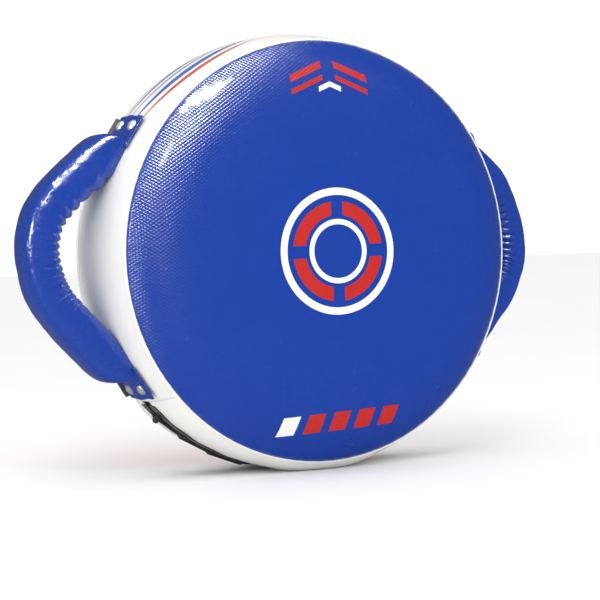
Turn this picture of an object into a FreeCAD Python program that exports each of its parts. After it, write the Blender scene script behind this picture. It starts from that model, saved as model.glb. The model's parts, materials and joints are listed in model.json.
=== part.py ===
import FreeCAD, Part
import math
import os
import re
import sys

import Sketcher
from FreeCAD import Placement, Rotation, Vector

# Round kick shield, standing on its rim: the striking face looks along -Y, the rear face along +Y,
# the two padded grips stand out along -X and +X.  The origin is on the floor under the middle.
# "across" is a distance along Y from the middle of the side wall, "radius" is measured from the
# shield's own axis, and "rise" is a distance outwards from a curved wall.

SIZES = [
    # body of the shield
    ("seam_radius", 240, "radius of the two rim seams"),
    ("wall_width", 152, "side wall, seam to seam"),
    ("wall_bulge", 14, "how far the side wall swells past the seams"),
    ("wall_thickness", 5, "leathercloth with its foam lining"),
    ("foot_press", 2.5, "how far the standing rim is pressed flat"),
    ("face_crown", 40, "depth of a face past its seam"),
    ("face_dome", 8, "crown of the middle of a face"),
    ("rim_rounding", 55, "breadth of the rounded rim of a face"),
    ("cover_thickness", 1.6, "leathercloth of a face"),
    ("piping_radius", 2.5, "cord piping in the rim seams"),
    ("core_depth", 80, "thickness of the middle foam block"),
    # laced closure in the lower wall
    ("closure_half_angle", 50, "half of the arc of the laced strips"),
    ("lacing_half_width", 20, "half width of the hollow for the lace"),
    ("lacing_depth", 8.4, "depth of that hollow below the bulge"),
    ("strip_bulge", 11.2, "swell of one laced strip over its chord"),
    ("slit_half_width", 14, "half gap between the two laced strips"),
    ("tongue_thickness", 1.4, "tongue behind the gap"),
    ("facing_inner", 4, "inner edge of an eyelet facing"),
    ("facing_outer", 19, "outer edge of an eyelet facing"),
    ("facing_thickness", 1.2, "webbing of an eyelet facing"),
    ("facing_half_angle", 48.5, "half of the arc of a facing"),
    ("eyelet_offset", 9, "eyelet row from the middle of the wall"),
    ("eyelet_bore", 2.2, "radius of an eyelet's bore"),
    ("eyelet_barrel", 2.6, "outer radius of an eyelet's barrel"),
    ("eyelet_flange", 4.2, "radius of an eyelet's flange"),
    ("eyelet_lip", 0.5, "thickness of an eyelet's flange"),
    ("eyelet_seat", 0.05, "an eyelet's flat flange and roll off the curved facing"),
    ("eyelet_span", 45, "half of the arc of an eyelet row"),
    ("lace_radius", 1.5, "lace"),
    ("lace_bend", 3.05, "radius of the lace where it turns through an eyelet"),
    ("lace_gap", 0.45, "lace over an eyelet's flange, where it sets off for the next one"),
    ("knot_radius", 4, "stopper knots of the lace"),
    # grips
    ("grip_shift", -5, "middle of a grip from the middle of the wall"),
    ("arm_angle", 41, "slant of a grip's arms from upright"),
    ("bend_radius", 80, "middle bend of a grip, at its strap"),
    ("grip_outer_pad", 23, "strap to the outer side of a grip"),
    ("grip_inner_pad", 19, "strap to the finger side of a grip"),
    ("grip_width", 67, "width of a grip along the shield's axis"),
    ("grip_rounding", 17, "corner radius of a grip's section"),
    ("grip_skin", 1.5, "leathercloth of a grip"),
    ("strap_width", 50, "strap inside a grip"),
    ("strap_thickness", 2.5, "strap"),
    ("binding_width", 9, "binding along the rear side of a grip"),
    ("binding_thickness", 4.5, "binding along the rear side of a grip"),
    ("shoulder_start", 82, "along an arm, where the grip starts to thin out"),
    ("shoulder_end", 47, "along an arm, where the grip ends on its tab"),
    ("shoulder_height", 6, "height of the grip's end over its strap"),
    ("shoulder_swell", 6, "swell of the grip's round end over its chord"),
    ("swing_half_height", 64, "half height of the swinging middle of a grip"),
    ("swing_gap", 0.6, "gap between the swinging middle and an arm"),
    ("swing_axis", 236, "upright line that a grip swings about, from the shield's axis"),
    ("right_rest_swing", 22, "how far the right grip lies swung back at rest"),
    # tabs that hold the grips on the wall
    ("tab_inner_angle", 30, "tab, end inside the grip, above the middle"),
    ("tab_outer_angle", 38.5, "tab, free end, above the middle"),
    ("tab_front", -43, "front edge of a tab"),
    ("tab_rear", 16, "rear edge of a tab"),
    ("tab_thickness", 2, "tab"),
    ("strap_front", -33, "front edge of the strap's end under the tab"),
    ("strap_rear", 33, "rear edge of the strap's end under the tab"),
    ("rivet_angle", 35.3, "rivets, above the middle"),
    ("rivet_middle", -13, "middle of a pair of rivets"),
    ("rivet_spacing", 31, "rivet to rivet"),
    ("rivet_head_radius", 6.75, "domed head"),
    ("rivet_head_height", 3.2, "domed head"),
    ("rivet_clearance", 0.5, "head to the tab and strap where they lift off the wall"),
    ("rivet_shank_radius", 3, "shank"),
    ("tail_radius", 5, "clenched tail"),
    ("tail_thickness", 1, "clenched tail"),
    ("washer_radius", 9, "washer behind the wall"),
    ("washer_thickness", 1.5, "washer behind the wall"),
    ("patch_thickness", 2, "reinforcing patch behind the wall"),
    ("patch_margin", 4, "patch past the tab on each edge"),
]

EYELET_STEPS = 10

# How far a cutting shape reaches past what it cuts.
BEYOND = "20"

# Shares of the lace's bend: its turns are a little tighter, so that a short straight run is left
# between two of them, and its ends stand a little way out of the last eyelets.
LACE_TURN = 0.98
LACE_TAIL = 0.2

doc = FreeCAD.newDocument("KickShield")
sheet = doc.addObject("Spreadsheet::Sheet", "Sizes")
for row, (alias, value, note) in enumerate(SIZES, start=1):
    sheet.set(f"A{row}", alias)
    sheet.set(f"B{row}", str(value))
    sheet.set(f"C{row}", note)
    sheet.setAlias(f"B{row}", alias)
doc.recompute()

ALIASES = re.compile(r"\b(" + "|".join(alias for alias, _, _ in SIZES) + r")\b")


# ---------------------------------------------------------------- sizes and expressions

def formula(text):
    """The expression with its size names pointing at the sheet."""
    return ALIASES.sub(r"Sizes.\1", text)


def number(text):
    """The value of an expression at the present sizes."""
    found = sheet.evalExpression(formula(text))
    return float(getattr(found, "Value", found))


def bind(thing, path, text):
    thing.setExpression(path, formula(text))


def arc_radius(half_chord, height):
    return f"((({half_chord})^2 + ({height})^2) / (2 * ({height})))"


WALL_TOP = "(seam_radius + wall_bulge)"
CENTRE = "(seam_radius + wall_bulge - foot_press)"
WALL_END = "(wall_width / 2 - piping_radius)"
COVER_END = "(wall_width / 2 + piping_radius)"
SEAM_FLOOR = "(seam_radius - piping_radius)"
WALL_ARC = arc_radius(WALL_END, "wall_bulge")
LINING_TOP = f"({WALL_TOP} - wall_thickness)"
LINING_RISE = "(wall_bulge + piping_radius - wall_thickness)"
LINING_ARC = arc_radius(WALL_END, LINING_RISE)
HOLLOW = f"({WALL_TOP} - lacing_depth)"
HOLLOW_FLOOR = f"({HOLLOW} - wall_thickness)"
TONGUE_FLOOR = f"({HOLLOW_FLOOR} - tongue_thickness)"


def on_wall(across, rise="0"):
    """Radius of the wall's outer curve, lifted by rise, at a place across it."""
    return f"({WALL_TOP} - {WALL_ARC} + sqrt(({WALL_ARC} + {rise})^2 - ({across})^2))"


def on_lining(across, rise="0"):
    """Radius of the wall's inner curve, lifted by rise, at a place across it."""
    return f"({LINING_TOP} - {LINING_ARC} + sqrt(({LINING_ARC} + {rise})^2 - ({across})^2))"


# ---------------------------------------------------------------- sketches and bodies

def plane_of(body, role):
    return next(item for item in body.Origin.OriginFeatures if item.Role == role)


def new_sketch(body, name, role):
    sketch = body.newObject("Sketcher::SketchObject", name)
    sketch.AttachmentSupport = (plane_of(body, role), "")
    sketch.MapMode = "FlatFace"
    return sketch


def arc_between(start, end, radius, bulge):
    """An arc from start to end that swells to the left or right of the way there."""
    middle = (start + end) * 0.5
    half = (end - start).Length / 2
    way = (end - start).normalize()
    left = Vector(-way.y, way.x, 0)
    side = 1 if bulge == "left" else -1
    drop = math.sqrt(max(radius ** 2 - half ** 2, 0))
    top = middle + left * (side * (radius - drop))
    return Part.Arc(start, top, end)


def draw(sketch, start, steps, closed=True):
    """Lines and arcs from point to point; every corner and radius follows the sheet.

    A step is (x, y) for a line, or (x, y, radius, bulge side) for an arc.  A closed outline may
    leave out its last line back to the start.
    """
    if closed and steps[-1][:2] != start:
        steps = steps + [start]
    corners = [start] + [step[:2] for step in steps]
    spots = [Vector(number(x), number(y), 0) for x, y in corners]
    ends = []
    for index, step in enumerate(steps):
        here, there = spots[index], spots[index + 1]
        if len(step) == 2:
            added = sketch.addGeometry(Part.LineSegment(here, there), False)
            ends.append((added, 1, 2))
        else:
            curve = arc_between(here, there, number(step[2]), step[3])
            added = sketch.addGeometry(curve, False)
            first = sketch.getPoint(added, 1)
            forwards = (first - here).Length < (first - there).Length
            ends.append((added, 1, 2) if forwards else (added, 2, 1))
    count = len(ends)
    for index in range(count if closed else count - 1):
        this, following = ends[index], ends[(index + 1) % count]
        add_rule(sketch, ["Coincident", this[0], this[2], following[0], following[1]])
    for index, (piece, first, last) in enumerate(ends):
        fix_point(sketch, piece, first, corners[index])
        if len(steps[index]) == 4:
            add_rule(sketch, ["Radius", piece, number(steps[index][2])], steps[index][2])
    if not closed:
        fix_point(sketch, ends[-1][0], ends[-1][2], corners[-1])


def add_rule(sketch, arguments, text=None):
    rule = sketch.addConstraint(Sketcher.Constraint(*arguments))
    if text is not None:
        sketch.setExpression(f"Constraints[{rule}]", formula(text))


def fix_point(sketch, piece, end, corner):
    for kind, text in zip(("DistanceX", "DistanceY"), corner):
        add_rule(sketch, [kind, -1, 1, piece, end, number(text)], text)


def new_body(name):
    body = doc.addObject("PartDesign::Body", name)
    body.Label = name
    bind(body, "Placement.Base.z", CENTRE)
    return body


def turned_body(name, start, steps, mid_angle="0", sweep="360"):
    """A profile of (across, radius) points turned about the shield's axis.

    The swept arc is centred mid_angle degrees from the top, towards +X.
    """
    body = new_body(name)
    sketch = new_sketch(body, name + "_profile", "YZ_Plane")
    draw(sketch, start, steps)
    turn = body.newObject("PartDesign::Revolution", name + "_turn")
    turn.Profile = sketch
    turn.ReferenceAxis = (sketch, ["H_Axis"])
    turn.Midplane = True
    bind(turn, "Angle", sweep)
    body.Placement.Rotation = Rotation(Vector(0, 1, 0), number(mid_angle))
    bind(body, "Placement.Rotation.Angle", mid_angle)
    return body


def add_groove(body, name, start, steps, sweep):
    sketch = new_sketch(body, name + "_profile", "YZ_Plane")
    draw(sketch, start, steps)
    groove = body.newObject("PartDesign::Groove", name)
    groove.Profile = sketch
    groove.ReferenceAxis = (sketch, ["H_Axis"])
    groove.Midplane = True
    bind(groove, "Angle", sweep)
    return groove


def side_profile_body(name, start, steps, width):
    """A profile of (x, height over the middle) points, padded evenly about the grip's middle."""
    body = new_body(name)
    bind(body, "Placement.Base.y", "grip_shift")
    sketch = new_sketch(body, name + "_profile", "XZ_Plane")
    draw(sketch, start, steps)
    pad = body.newObject("PartDesign::Pad", name + "_pad")
    pad.Profile = sketch
    pad.SideType = "Symmetric"
    bind(pad, "Length", width)
    return body


def band(name, curve, across, rises, mid_angle, sweep):
    """A curved plate that follows a wall curve, between two rises and two edges."""
    surface, radius = curve
    front, rear = across
    low, high = rises
    start = (front, surface(front, low))
    steps = [
        (front, surface(front, high)),
        (rear, surface(rear, high), f"{radius} + {high}", "left"),
        (rear, surface(rear, low)),
        (front, surface(front, low), f"{radius} + {low}", "right"),
    ]
    return turned_body(name, start, steps, mid_angle, sweep)


OUTER_CURVE = (on_wall, WALL_ARC)
INNER_CURVE = (on_lining, LINING_ARC)


# ---------------------------------------------------------------- booleans and nodes

def boolean(kind, name, first, second):
    made = doc.addObject("Part::" + kind, name)
    made.Base = first
    made.Tool = second
    return made


def cut(name, first, second):
    return boolean("Cut", name, first, second)


def common(name, first, second):
    return boolean("Common", name, first, second)


def joined(name, shapes):
    made = doc.addObject("Part::MultiFuse", name)
    made.Shapes = shapes
    return made


def mirrored(name, source, normal):
    made = doc.addObject("Part::Mirroring", name)
    made.Source = source
    made.Normal = normal
    if normal.z:
        made.Base = (0, 0, number(CENTRE))
        bind(made, "Base.z", CENTRE)
    return made


nodes = {}


def node(name, thing):
    thing.Label = name
    nodes[name] = thing
    return thing


# ---------------------------------------------------------------- faces, wall and foam

def face_profile(side, inset):
    """Half of a face's section, from its rim to the shield's axis, on the side -1 or +1."""
    depth = f"(wall_width / 2 + face_crown - {inset})"
    shoulder = f"({depth} - face_dome)"
    edge = "(seam_radius - rim_rounding)"
    rim = "seam_radius" if inset == "0" else SEAM_FLOOR
    dome = arc_radius(edge, "face_dome")
    run = f"({rim} - {edge})"
    fall = f"({shoulder} - {COVER_END})"
    turn = f"(atan({fall} / {run}) - 2 * atan(face_dome / {edge}))"
    rounding = f"(sqrt({run}^2 + {fall}^2) / (2 * sin({turn})))"
    bulge = "left" if side > 0 else "right"
    return {
        "rim": (f"{side} * {COVER_END}", rim),
        "edge": (f"{side} * {shoulder}", edge),
        "pole": (f"{side} * {depth}", "0"),
        "rounding": rounding,
        "dome": dome,
        "bulge": bulge,
    }


def make_cover(name, side):
    outer = face_profile(side, "0")
    inner = face_profile(side, "cover_thickness")
    back = "right" if side > 0 else "left"
    steps = [
        outer["edge"] + (outer["rounding"], outer["bulge"]),
        outer["pole"] + (outer["dome"], outer["bulge"]),
        inner["pole"],
        inner["edge"] + (inner["dome"], back),
        inner["rim"] + (inner["rounding"], back),
    ]
    return node(name, turned_body(name, outer["rim"], steps))


def make_face_foam(name, side):
    inner = face_profile(side, "cover_thickness")
    split = f"{side} * core_depth / 2"
    start = (split, "0")
    steps = [
        (split, on_lining("core_depth / 2")),
        (f"{side} * {WALL_END}", SEAM_FLOOR, LINING_ARC, inner["bulge"]),
        inner["rim"],
        inner["edge"] + (inner["rounding"], inner["bulge"]),
        inner["pole"] + (inner["dome"], inner["bulge"]),
    ]
    body = turned_body(name, start, steps, "180")
    carve_closure(body)
    return body


STRIP_HALF = f"(({WALL_END} - lacing_half_width) / 2)"


def strip_arc(outer_radius, inner_radius, swell):
    """Radius of a laced strip's curve, between its seam and the lacing hollow."""
    slope = f"(({outer_radius} - {inner_radius}) / 2)"
    return arc_radius(f"sqrt({STRIP_HALF}^2 + {slope}^2)", swell)


STRIP_ARC = strip_arc("seam_radius", HOLLOW, "strip_bulge")
STRIP_LINING_SWELL = "(strip_bulge + piping_radius / 2 - wall_thickness / 2)"
STRIP_LINING_ARC = strip_arc(SEAM_FLOOR, HOLLOW_FLOOR, STRIP_LINING_SWELL)


def carve_closure(body):
    """Room for the laced strips and the tongue, all round their arc."""
    clear = f"({WALL_TOP} + {BEYOND})"
    start = (f"-{WALL_END}", SEAM_FLOOR)
    steps = [
        ("-lacing_half_width", HOLLOW_FLOOR, STRIP_LINING_ARC, "left"),
        ("-lacing_half_width", TONGUE_FLOOR),
        ("lacing_half_width", TONGUE_FLOOR),
        ("lacing_half_width", HOLLOW_FLOOR),
        (WALL_END, SEAM_FLOOR, STRIP_LINING_ARC, "left"),
        (WALL_END, clear),
        (f"-{WALL_END}", clear),
    ]
    add_groove(body, body.Name + "_closure", start, steps, "2 * closure_half_angle")


def make_core_foam():
    half = "core_depth / 2"
    start = (f"-{half}", "0")
    steps = [
        (f"-{half}", on_lining(half)),
        (half, on_lining(half), LINING_ARC, "left"),
        (half, "0"),
    ]
    body = turned_body("core_block", start, steps, "180")
    carve_closure(body)
    return body


def make_wall_strip():
    start = (f"-{WALL_END}", "seam_radius")
    steps = [
        (WALL_END, "seam_radius", WALL_ARC, "left"),
        (WALL_END, SEAM_FLOOR),
        (f"-{WALL_END}", SEAM_FLOOR, LINING_ARC, "right"),
    ]
    return turned_body("wall_strip", start, steps, "0", "360 - 2 * closure_half_angle")


def make_laced_strip(name, side):
    """One of the two laced strips of the lower wall, flattened where the shield stands."""
    out, back = ("right", "left") if side > 0 else ("left", "right")
    seam = f"{side} * {WALL_END}"
    hollow = f"{side} * lacing_half_width"
    lip = f"{side} * slit_half_width"
    start = (seam, "seam_radius")
    steps = [
        (hollow, HOLLOW, STRIP_ARC, out),
        (lip, HOLLOW),
        (lip, HOLLOW_FLOOR),
        (hollow, HOLLOW_FLOOR),
        (seam, SEAM_FLOOR, STRIP_LINING_ARC, back),
    ]
    body = turned_body(name, start, steps, "180", "2 * closure_half_angle")
    sketch = new_sketch(body, name + "_foot", "YZ_Plane")
    start = ("-wall_width", CENTRE)
    steps = [
        ("wall_width", CENTRE),
        ("wall_width", f"{WALL_TOP} + {BEYOND}"),
        ("-wall_width", f"{WALL_TOP} + {BEYOND}"),
    ]
    draw(sketch, start, steps)
    foot = body.newObject("PartDesign::Pocket", name + "_press")
    foot.Profile = sketch
    foot.SideType = "Symmetric"
    bind(foot, "Length", "2 * seam_radius")
    return node(name, body)


def make_piping(name, side):
    ring = doc.addObject("Part::Torus", name)
    bind(ring, "Radius1", "seam_radius")
    bind(ring, "Radius2", "piping_radius")
    ring.Placement = Placement(Vector(0, 0, 0), Rotation(Vector(1, 0, 0), 90))
    bind(ring, "Placement.Base.y", f"{side} * wall_width / 2")
    bind(ring, "Placement.Base.z", CENTRE)
    return node(name, ring)


# ---------------------------------------------------------------- laced closure

def closure_band(name, across, radii, half_angle):
    front, rear = across
    low, high = radii
    start = (front, low)
    steps = [(front, high), (rear, high), (rear, low)]
    return turned_body(name, start, steps, "180", f"2 * {half_angle}")


FACING_TOP = f"({HOLLOW} + facing_thickness)"
LACE_OVER = number(f"{FACING_TOP} + eyelet_seat + eyelet_lip + lace_gap + lace_radius")
LACE_UNDER = LACE_OVER - 2 * number("lace_bend")
LACE_END = LACE_OVER + LACE_TAIL * number("lace_bend")


def closure_point(angle, across, radius):
    """A place over the laced closure, at an angle from the bottom towards +X."""
    turn = math.radians(angle)
    height = number(CENTRE) - radius * math.cos(turn)
    return Vector(radius * math.sin(turn), across, height)


def eyelet_angles():
    span = number("eyelet_span")
    return [span * (2 * step / EYELET_STEPS - 1) for step in range(EYELET_STEPS + 1)]


def radial_cylinders(radius, low, high, across):
    """One cylinder for each eyelet of a row, pointing at the shield's axis."""
    made = []
    for angle in eyelet_angles():
        base = closure_point(angle, across, low)
        way = closure_point(angle, across, high) - base
        made.append(Part.makeCylinder(radius, high - low, base, way))
    return made


def make_eyelets(name, side):
    """A row of barrels, each with a flange outside and a rolled edge inside the facing."""
    across = side * number("eyelet_offset")
    inside, outside = number(HOLLOW), number(FACING_TOP)
    lip = number("eyelet_lip")
    inside -= number("eyelet_seat")
    outside += number("eyelet_seat")
    barrels = radial_cylinders(number("eyelet_barrel"), inside - lip, outside + lip, across)
    flanges = radial_cylinders(number("eyelet_flange"), outside, outside + lip, across)
    rolls = radial_cylinders(number("eyelet_flange") - lip, inside - lip, inside, across)
    bores = radial_cylinders(number("eyelet_bore"), inside - 2 * lip, outside + 2 * lip, across)
    rings = []
    for barrel, flange, roll, bore in zip(barrels, flanges, rolls, bores):
        rings.append(barrel.fuse([flange, roll]).cut(bore))
    made = doc.addObject("Part::Feature", name)
    made.Shape = Part.makeCompound(rings)
    return node(name, made)


def make_facing(name, side):
    edges = sorted([f"{side} * facing_inner", f"{side} * facing_outer"], key=number)
    plain = closure_band(name + "_strip", edges, (HOLLOW, FACING_TOP), "facing_half_angle")
    holes = doc.addObject("Part::Feature", name + "_holes")
    across = side * number("eyelet_offset")
    low = number(f"{HOLLOW} - eyelet_lip")
    high = number(f"{FACING_TOP} + eyelet_lip")
    bore = number("eyelet_barrel + eyelet_seat")
    holes.Shape = Part.makeCompound(radial_cylinders(bore, low, high, across))
    return node(name, cut(name, plain, holes))


def lace_route():
    """Corners of the lace: down a front eyelet, across below, up, and slantwise to the next."""
    offset = number("eyelet_offset")
    angles = eyelet_angles()
    corners = []
    for angle in angles:
        for across, radius in ((-offset, LACE_OVER), (-offset, LACE_UNDER),
                               (offset, LACE_UNDER), (offset, LACE_OVER)):
            corners.append(closure_point(angle, across, radius))
    corners[0] = closure_point(angles[0], -offset, LACE_END)
    corners[-1] = closure_point(angles[-1], offset, LACE_END)
    return corners


def rounded_wire(corners, radius):
    """Straight runs joined by tangent arcs of one radius."""
    edges = []
    start = corners[0]
    for before, corner, after in zip(corners, corners[1:], corners[2:]):
        back = (before - corner).normalize()
        onward = (after - corner).normalize()
        half = back.getAngle(onward) / 2
        reach = radius / math.tan(half)
        middle = corner + (back + onward).normalize() * (radius / math.sin(half) - radius)
        first, last = corner + back * reach, corner + onward * reach
        if (first - start).Length > 1e-4:
            edges.append(Part.LineSegment(start, first).toShape())
        edges.append(Part.Arc(first, middle, last).toShape())
        start = last
    edges.append(Part.LineSegment(start, corners[-1]).toShape())
    return Part.Wire(edges)


def make_lace():
    corners = lace_route()
    bend = number("lace_bend") * LACE_TURN
    route = rounded_wire(corners, bend)
    radius = number("lace_radius")
    way = (corners[1] - corners[0]).normalize()
    section = Part.Wire(Part.makeCircle(radius, corners[0], way))
    made = doc.addObject("Part::Feature", "lace")
    made.Shape = route.makePipeShell([section], True, False)
    expected = math.pi * radius ** 2 * route.Length
    print(f"lace: length {route.Length:.1f}, volume against section times length "
          f"{made.Shape.Volume / expected:.4f}, bend radius {bend:.2f}")
    return node("lace", made)


def make_knots():
    """A round stopper knot on each end of the lace, flat where it meets the lace."""
    radius = number("knot_radius")
    offset = number("eyelet_offset")
    angles = eyelet_angles()
    reach = math.sqrt(radius ** 2 - number("lace_radius") ** 2)
    flat = -math.degrees(math.asin(reach / radius))
    balls = []
    for angle, across in ((angles[0], -offset), (angles[-1], offset)):
        seat = closure_point(angle, across, LACE_END)
        way = (closure_point(angle, across, LACE_END + reach) - seat).normalize()
        balls.append(Part.makeSphere(radius, seat + way * reach, way, flat, 90, 360))
    made = doc.addObject("Part::Feature", "lace_knots")
    made.Shape = Part.makeCompound(balls)
    return node("lace_knots", made)


# ---------------------------------------------------------------- grips

STRAP_LINE = f"({WALL_TOP} + strap_thickness / 2)"
BEND_CENTRE = f"(({STRAP_LINE} - bend_radius) / cos(arm_angle))"
GRIP_MIDDLE = f"({BEND_CENTRE} + bend_radius)"
STRAP_HALF = "(strap_thickness / 2)"
ARM_FOOT = "(swing_half_height + swing_gap)"


def on_arm(along, out):
    """A place beside the upper arm: along it from where it would touch the wall, and out from it."""
    return (
        f"(({STRAP_LINE} + {out}) * cos(arm_angle) + ({along}) * sin(arm_angle))",
        f"(({STRAP_LINE} + {out}) * sin(arm_angle) - ({along}) * cos(arm_angle))",
    )


def arm_at_height(height, out):
    """A place on a line beside the upper arm, at a height over the shield's middle."""
    along = f"((({STRAP_LINE} + {out}) * sin(arm_angle) - ({height})) / cos(arm_angle))"
    return (f"(({STRAP_LINE} + {out}) * cos(arm_angle) + {along} * sin(arm_angle))", height)


def swept_along_grip(name, start, steps, trim=None):
    """A section in the level plane carried along the grip's strap, above and below."""
    body = new_body(name)
    bind(body, "Placement.Base.y", "grip_shift")
    section = new_sketch(body, name + "_section", "XY_Plane")
    draw(section, start, steps)
    spine = new_sketch(body, name + "_spine", "XZ_Plane")
    bend_end = (f"({BEND_CENTRE} + bend_radius * cos(arm_angle))", "bend_radius * sin(arm_angle)")
    draw(
        spine,
        (GRIP_MIDDLE, "0"),
        [bend_end + ("bend_radius", "right"), on_arm("shoulder_end", "0")],
        closed=False,
    )
    pipe = body.newObject("PartDesign::AdditivePipe", name + "_pipe")
    pipe.Profile = section
    pipe.Spine = spine
    originals = [pipe]
    if trim is not None:
        originals.append(add_shoulder(body, name, trim))
    mirror = body.newObject("PartDesign::Mirrored", name + "_mirror")
    mirror.Originals = originals
    mirror.MirrorPlane = (plane_of(body, "XY_Plane"), [""])
    body.Tip = mirror
    return body


def add_shoulder(body, name, inset):
    """The outer side of the arm sinks down to the tab in one round shoulder."""
    top = f"(grip_outer_pad - {inset})"
    low = f"(shoulder_height - {inset})"
    run = "(shoulder_start - shoulder_end)"
    radius = arc_radius(f"(sqrt({run}^2 + ({top} - {low})^2) / 2)", "shoulder_swell")
    sketch = new_sketch(body, name + "_shoulder", "XZ_Plane")
    start = on_arm("shoulder_start", top)
    steps = [
        on_arm("shoulder_end", low) + (radius, "right"),
        on_arm(f"(shoulder_end - {BEYOND})", low),
        on_arm(f"(shoulder_end - {BEYOND})", f"({top} + {BEYOND})"),
        on_arm("shoulder_start", f"({top} + {BEYOND})"),
    ]
    draw(sketch, start, steps)
    pocket = body.newObject("PartDesign::Pocket", name + "_shoulder_cut")
    pocket.Profile = sketch
    pocket.SideType = "Symmetric"
    bind(pocket, "Length", "2 * grip_width")
    return pocket


def grip_section(inset):
    """Rounded rectangle of the grip, drawn in the level plane through its middle."""
    inner = f"({GRIP_MIDDLE} - grip_inner_pad + {inset})"
    outer = f"({GRIP_MIDDLE} + grip_outer_pad - {inset})"
    half = f"(grip_width / 2 - {inset})"
    corner = f"(grip_rounding - {inset})"
    start = (f"({inner} + {corner})", f"-{half}")
    steps = [
        (f"({outer} - {corner})", f"-{half}"),
        (outer, f"-({half} - {corner})", corner, "right"),
        (outer, f"({half} - {corner})"),
        (f"({outer} - {corner})", half, corner, "right"),
        (f"({inner} + {corner})", half),
        (inner, f"({half} - {corner})", corner, "right"),
        (inner, f"-({half} - {corner})"),
    ]
    return start, steps + [start + (corner, "right")]


def flat_section(half_thickness, front, rear):
    """Rectangle about the grip's middle line, between two edges."""
    start = (f"({GRIP_MIDDLE} - {half_thickness})", front)
    steps = [
        (f"({GRIP_MIDDLE} + {half_thickness})", front),
        (f"({GRIP_MIDDLE} + {half_thickness})", rear),
        (f"({GRIP_MIDDLE} - {half_thickness})", rear),
    ]
    return start, steps


def slab(name, low, high):
    """A box round everything between two heights over the shield's middle, on the +X side."""
    box = doc.addObject("Part::Box", name)
    bind(box, "Length", "2 * seam_radius")
    bind(box, "Width", "2 * wall_width")
    bind(box, "Height", f"({high}) - ({low})")
    bind(box, "Placement.Base.y", "-wall_width")
    bind(box, "Placement.Base.z", f"{CENTRE} + {low}")
    return box


def radial(thing, across, radius):
    """Point a primitive's own axis away from the shield's axis, at the rivets' angle."""
    thing.Placement = Placement(Vector(0, 0, 0), Rotation(Vector(0, 1, 0), 90 - number("rivet_angle")))
    bind(thing, "Placement.Rotation.Angle", "90 - rivet_angle")
    bind(thing, "Placement.Base.x", f"{radius} * cos(rivet_angle)")
    bind(thing, "Placement.Base.y", across)
    bind(thing, "Placement.Base.z", f"{CENTRE} + {radius} * sin(rivet_angle)")
    return thing


def radial_cylinder(name, across, low, high, radius):
    made = radial(doc.addObject("Part::Cylinder", name), across, low)
    bind(made, "Radius", radius)
    bind(made, "Height", f"({high}) - ({low})")
    return made


def swung_back(name, thing, angle):
    """The same solid turned about the right grip's upright swing line, towards +Y."""
    made = doc.addObject("Part::Compound", name)
    made.Links = [thing]
    made.Placement = Placement(Vector(0, 0, 0), Rotation(Vector(0, 0, 1), number(angle)))
    bind(made, "Placement.Rotation.Angle", angle)
    bind(made, "Placement.Base.x",
         f"swing_axis * (1 - cos({angle})) + grip_shift * sin({angle})")
    bind(made, "Placement.Base.y",
         f"grip_shift * (1 - cos({angle})) - swing_axis * sin({angle})")
    return made


def save_parts():
    os.makedirs("parts", exist_ok=True)
    for name, thing in nodes.items():
        thing.Shape.exportStep(os.path.join("parts", name + ".step"))


def check_document():
    for thing in doc.Objects:
        if "Invalid" in thing.State or "Error" in thing.State:
            sys.exit(f"{thing.Name} failed: {thing.State}")
    for name, thing in nodes.items():
        if thing.Shape.isNull() or not thing.Shape.isValid() or not thing.Shape.Solids:
            sys.exit(f"{name} has no valid solid")


# ---------------------------------------------------------------- build: shield

make_cover("front_cover", -1)
make_cover("back_cover", 1)
make_piping("front_piping", -1)
make_piping("back_piping", 1)
foam_blocks = {
    "front_foam": make_face_foam("front_block", -1),
    "core_foam": make_core_foam(),
    "back_foam": make_face_foam("back_block", 1),
}
make_laced_strip("front_laced_strip", -1)
make_laced_strip("back_laced_strip", 1)
wall_strip = make_wall_strip()

tongue_edges = ("-lacing_half_width", "lacing_half_width")
node("closure_tongue", closure_band("closure_tongue", tongue_edges, (TONGUE_FLOOR, HOLLOW_FLOOR),
                                    "closure_half_angle"))
make_facing("front_eyelet_facing", -1)
make_facing("back_eyelet_facing", 1)
make_eyelets("front_eyelets", -1)
make_eyelets("back_eyelets", 1)
make_lace()
make_knots()
doc.recompute()

# ---------------------------------------------------------------- build: grips

TAB_MIDDLE = "(90 - (tab_inner_angle + tab_outer_angle) / 2)"
TAB_SWEEP = "(tab_outer_angle - tab_inner_angle)"
TAB_UNDER = "strap_thickness"
TAB_OVER = "(strap_thickness + tab_thickness)"

wall_solid = turned_body("wall_solid", (f"-{WALL_END}", "0"), [
    (f"-{WALL_END}", "seam_radius"),
    (WALL_END, "seam_radius", WALL_ARC, "left"),
    (WALL_END, "0"),
])
wall_solid_skinned = turned_body("wall_solid_skinned", (f"-{WALL_END}", "0"), [
    (f"-{WALL_END}", on_wall(WALL_END, "grip_skin")),
    (WALL_END, on_wall(WALL_END, "grip_skin"), f"{WALL_ARC} + grip_skin", "left"),
    (WALL_END, "0"),
])

grip_outside = swept_along_grip("grip_outside", *grip_section("0"), trim="0")
grip_inside = swept_along_grip("grip_inside", *grip_section("grip_skin"), trim="grip_skin")
strap_path = swept_along_grip(
    "strap_path", *flat_section(STRAP_HALF, "-strap_width / 2", "strap_width / 2"))
binding_path = swept_along_grip(
    "binding_path",
    *flat_section("(binding_width / 2)", "(grip_width / 2)", "(grip_width / 2 + binding_thickness)"))

swing_slab = slab("swing_slab", "-swing_half_height", "swing_half_height")
arm_slab = slab("arm_slab", ARM_FOOT, "seam_radius")

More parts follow.
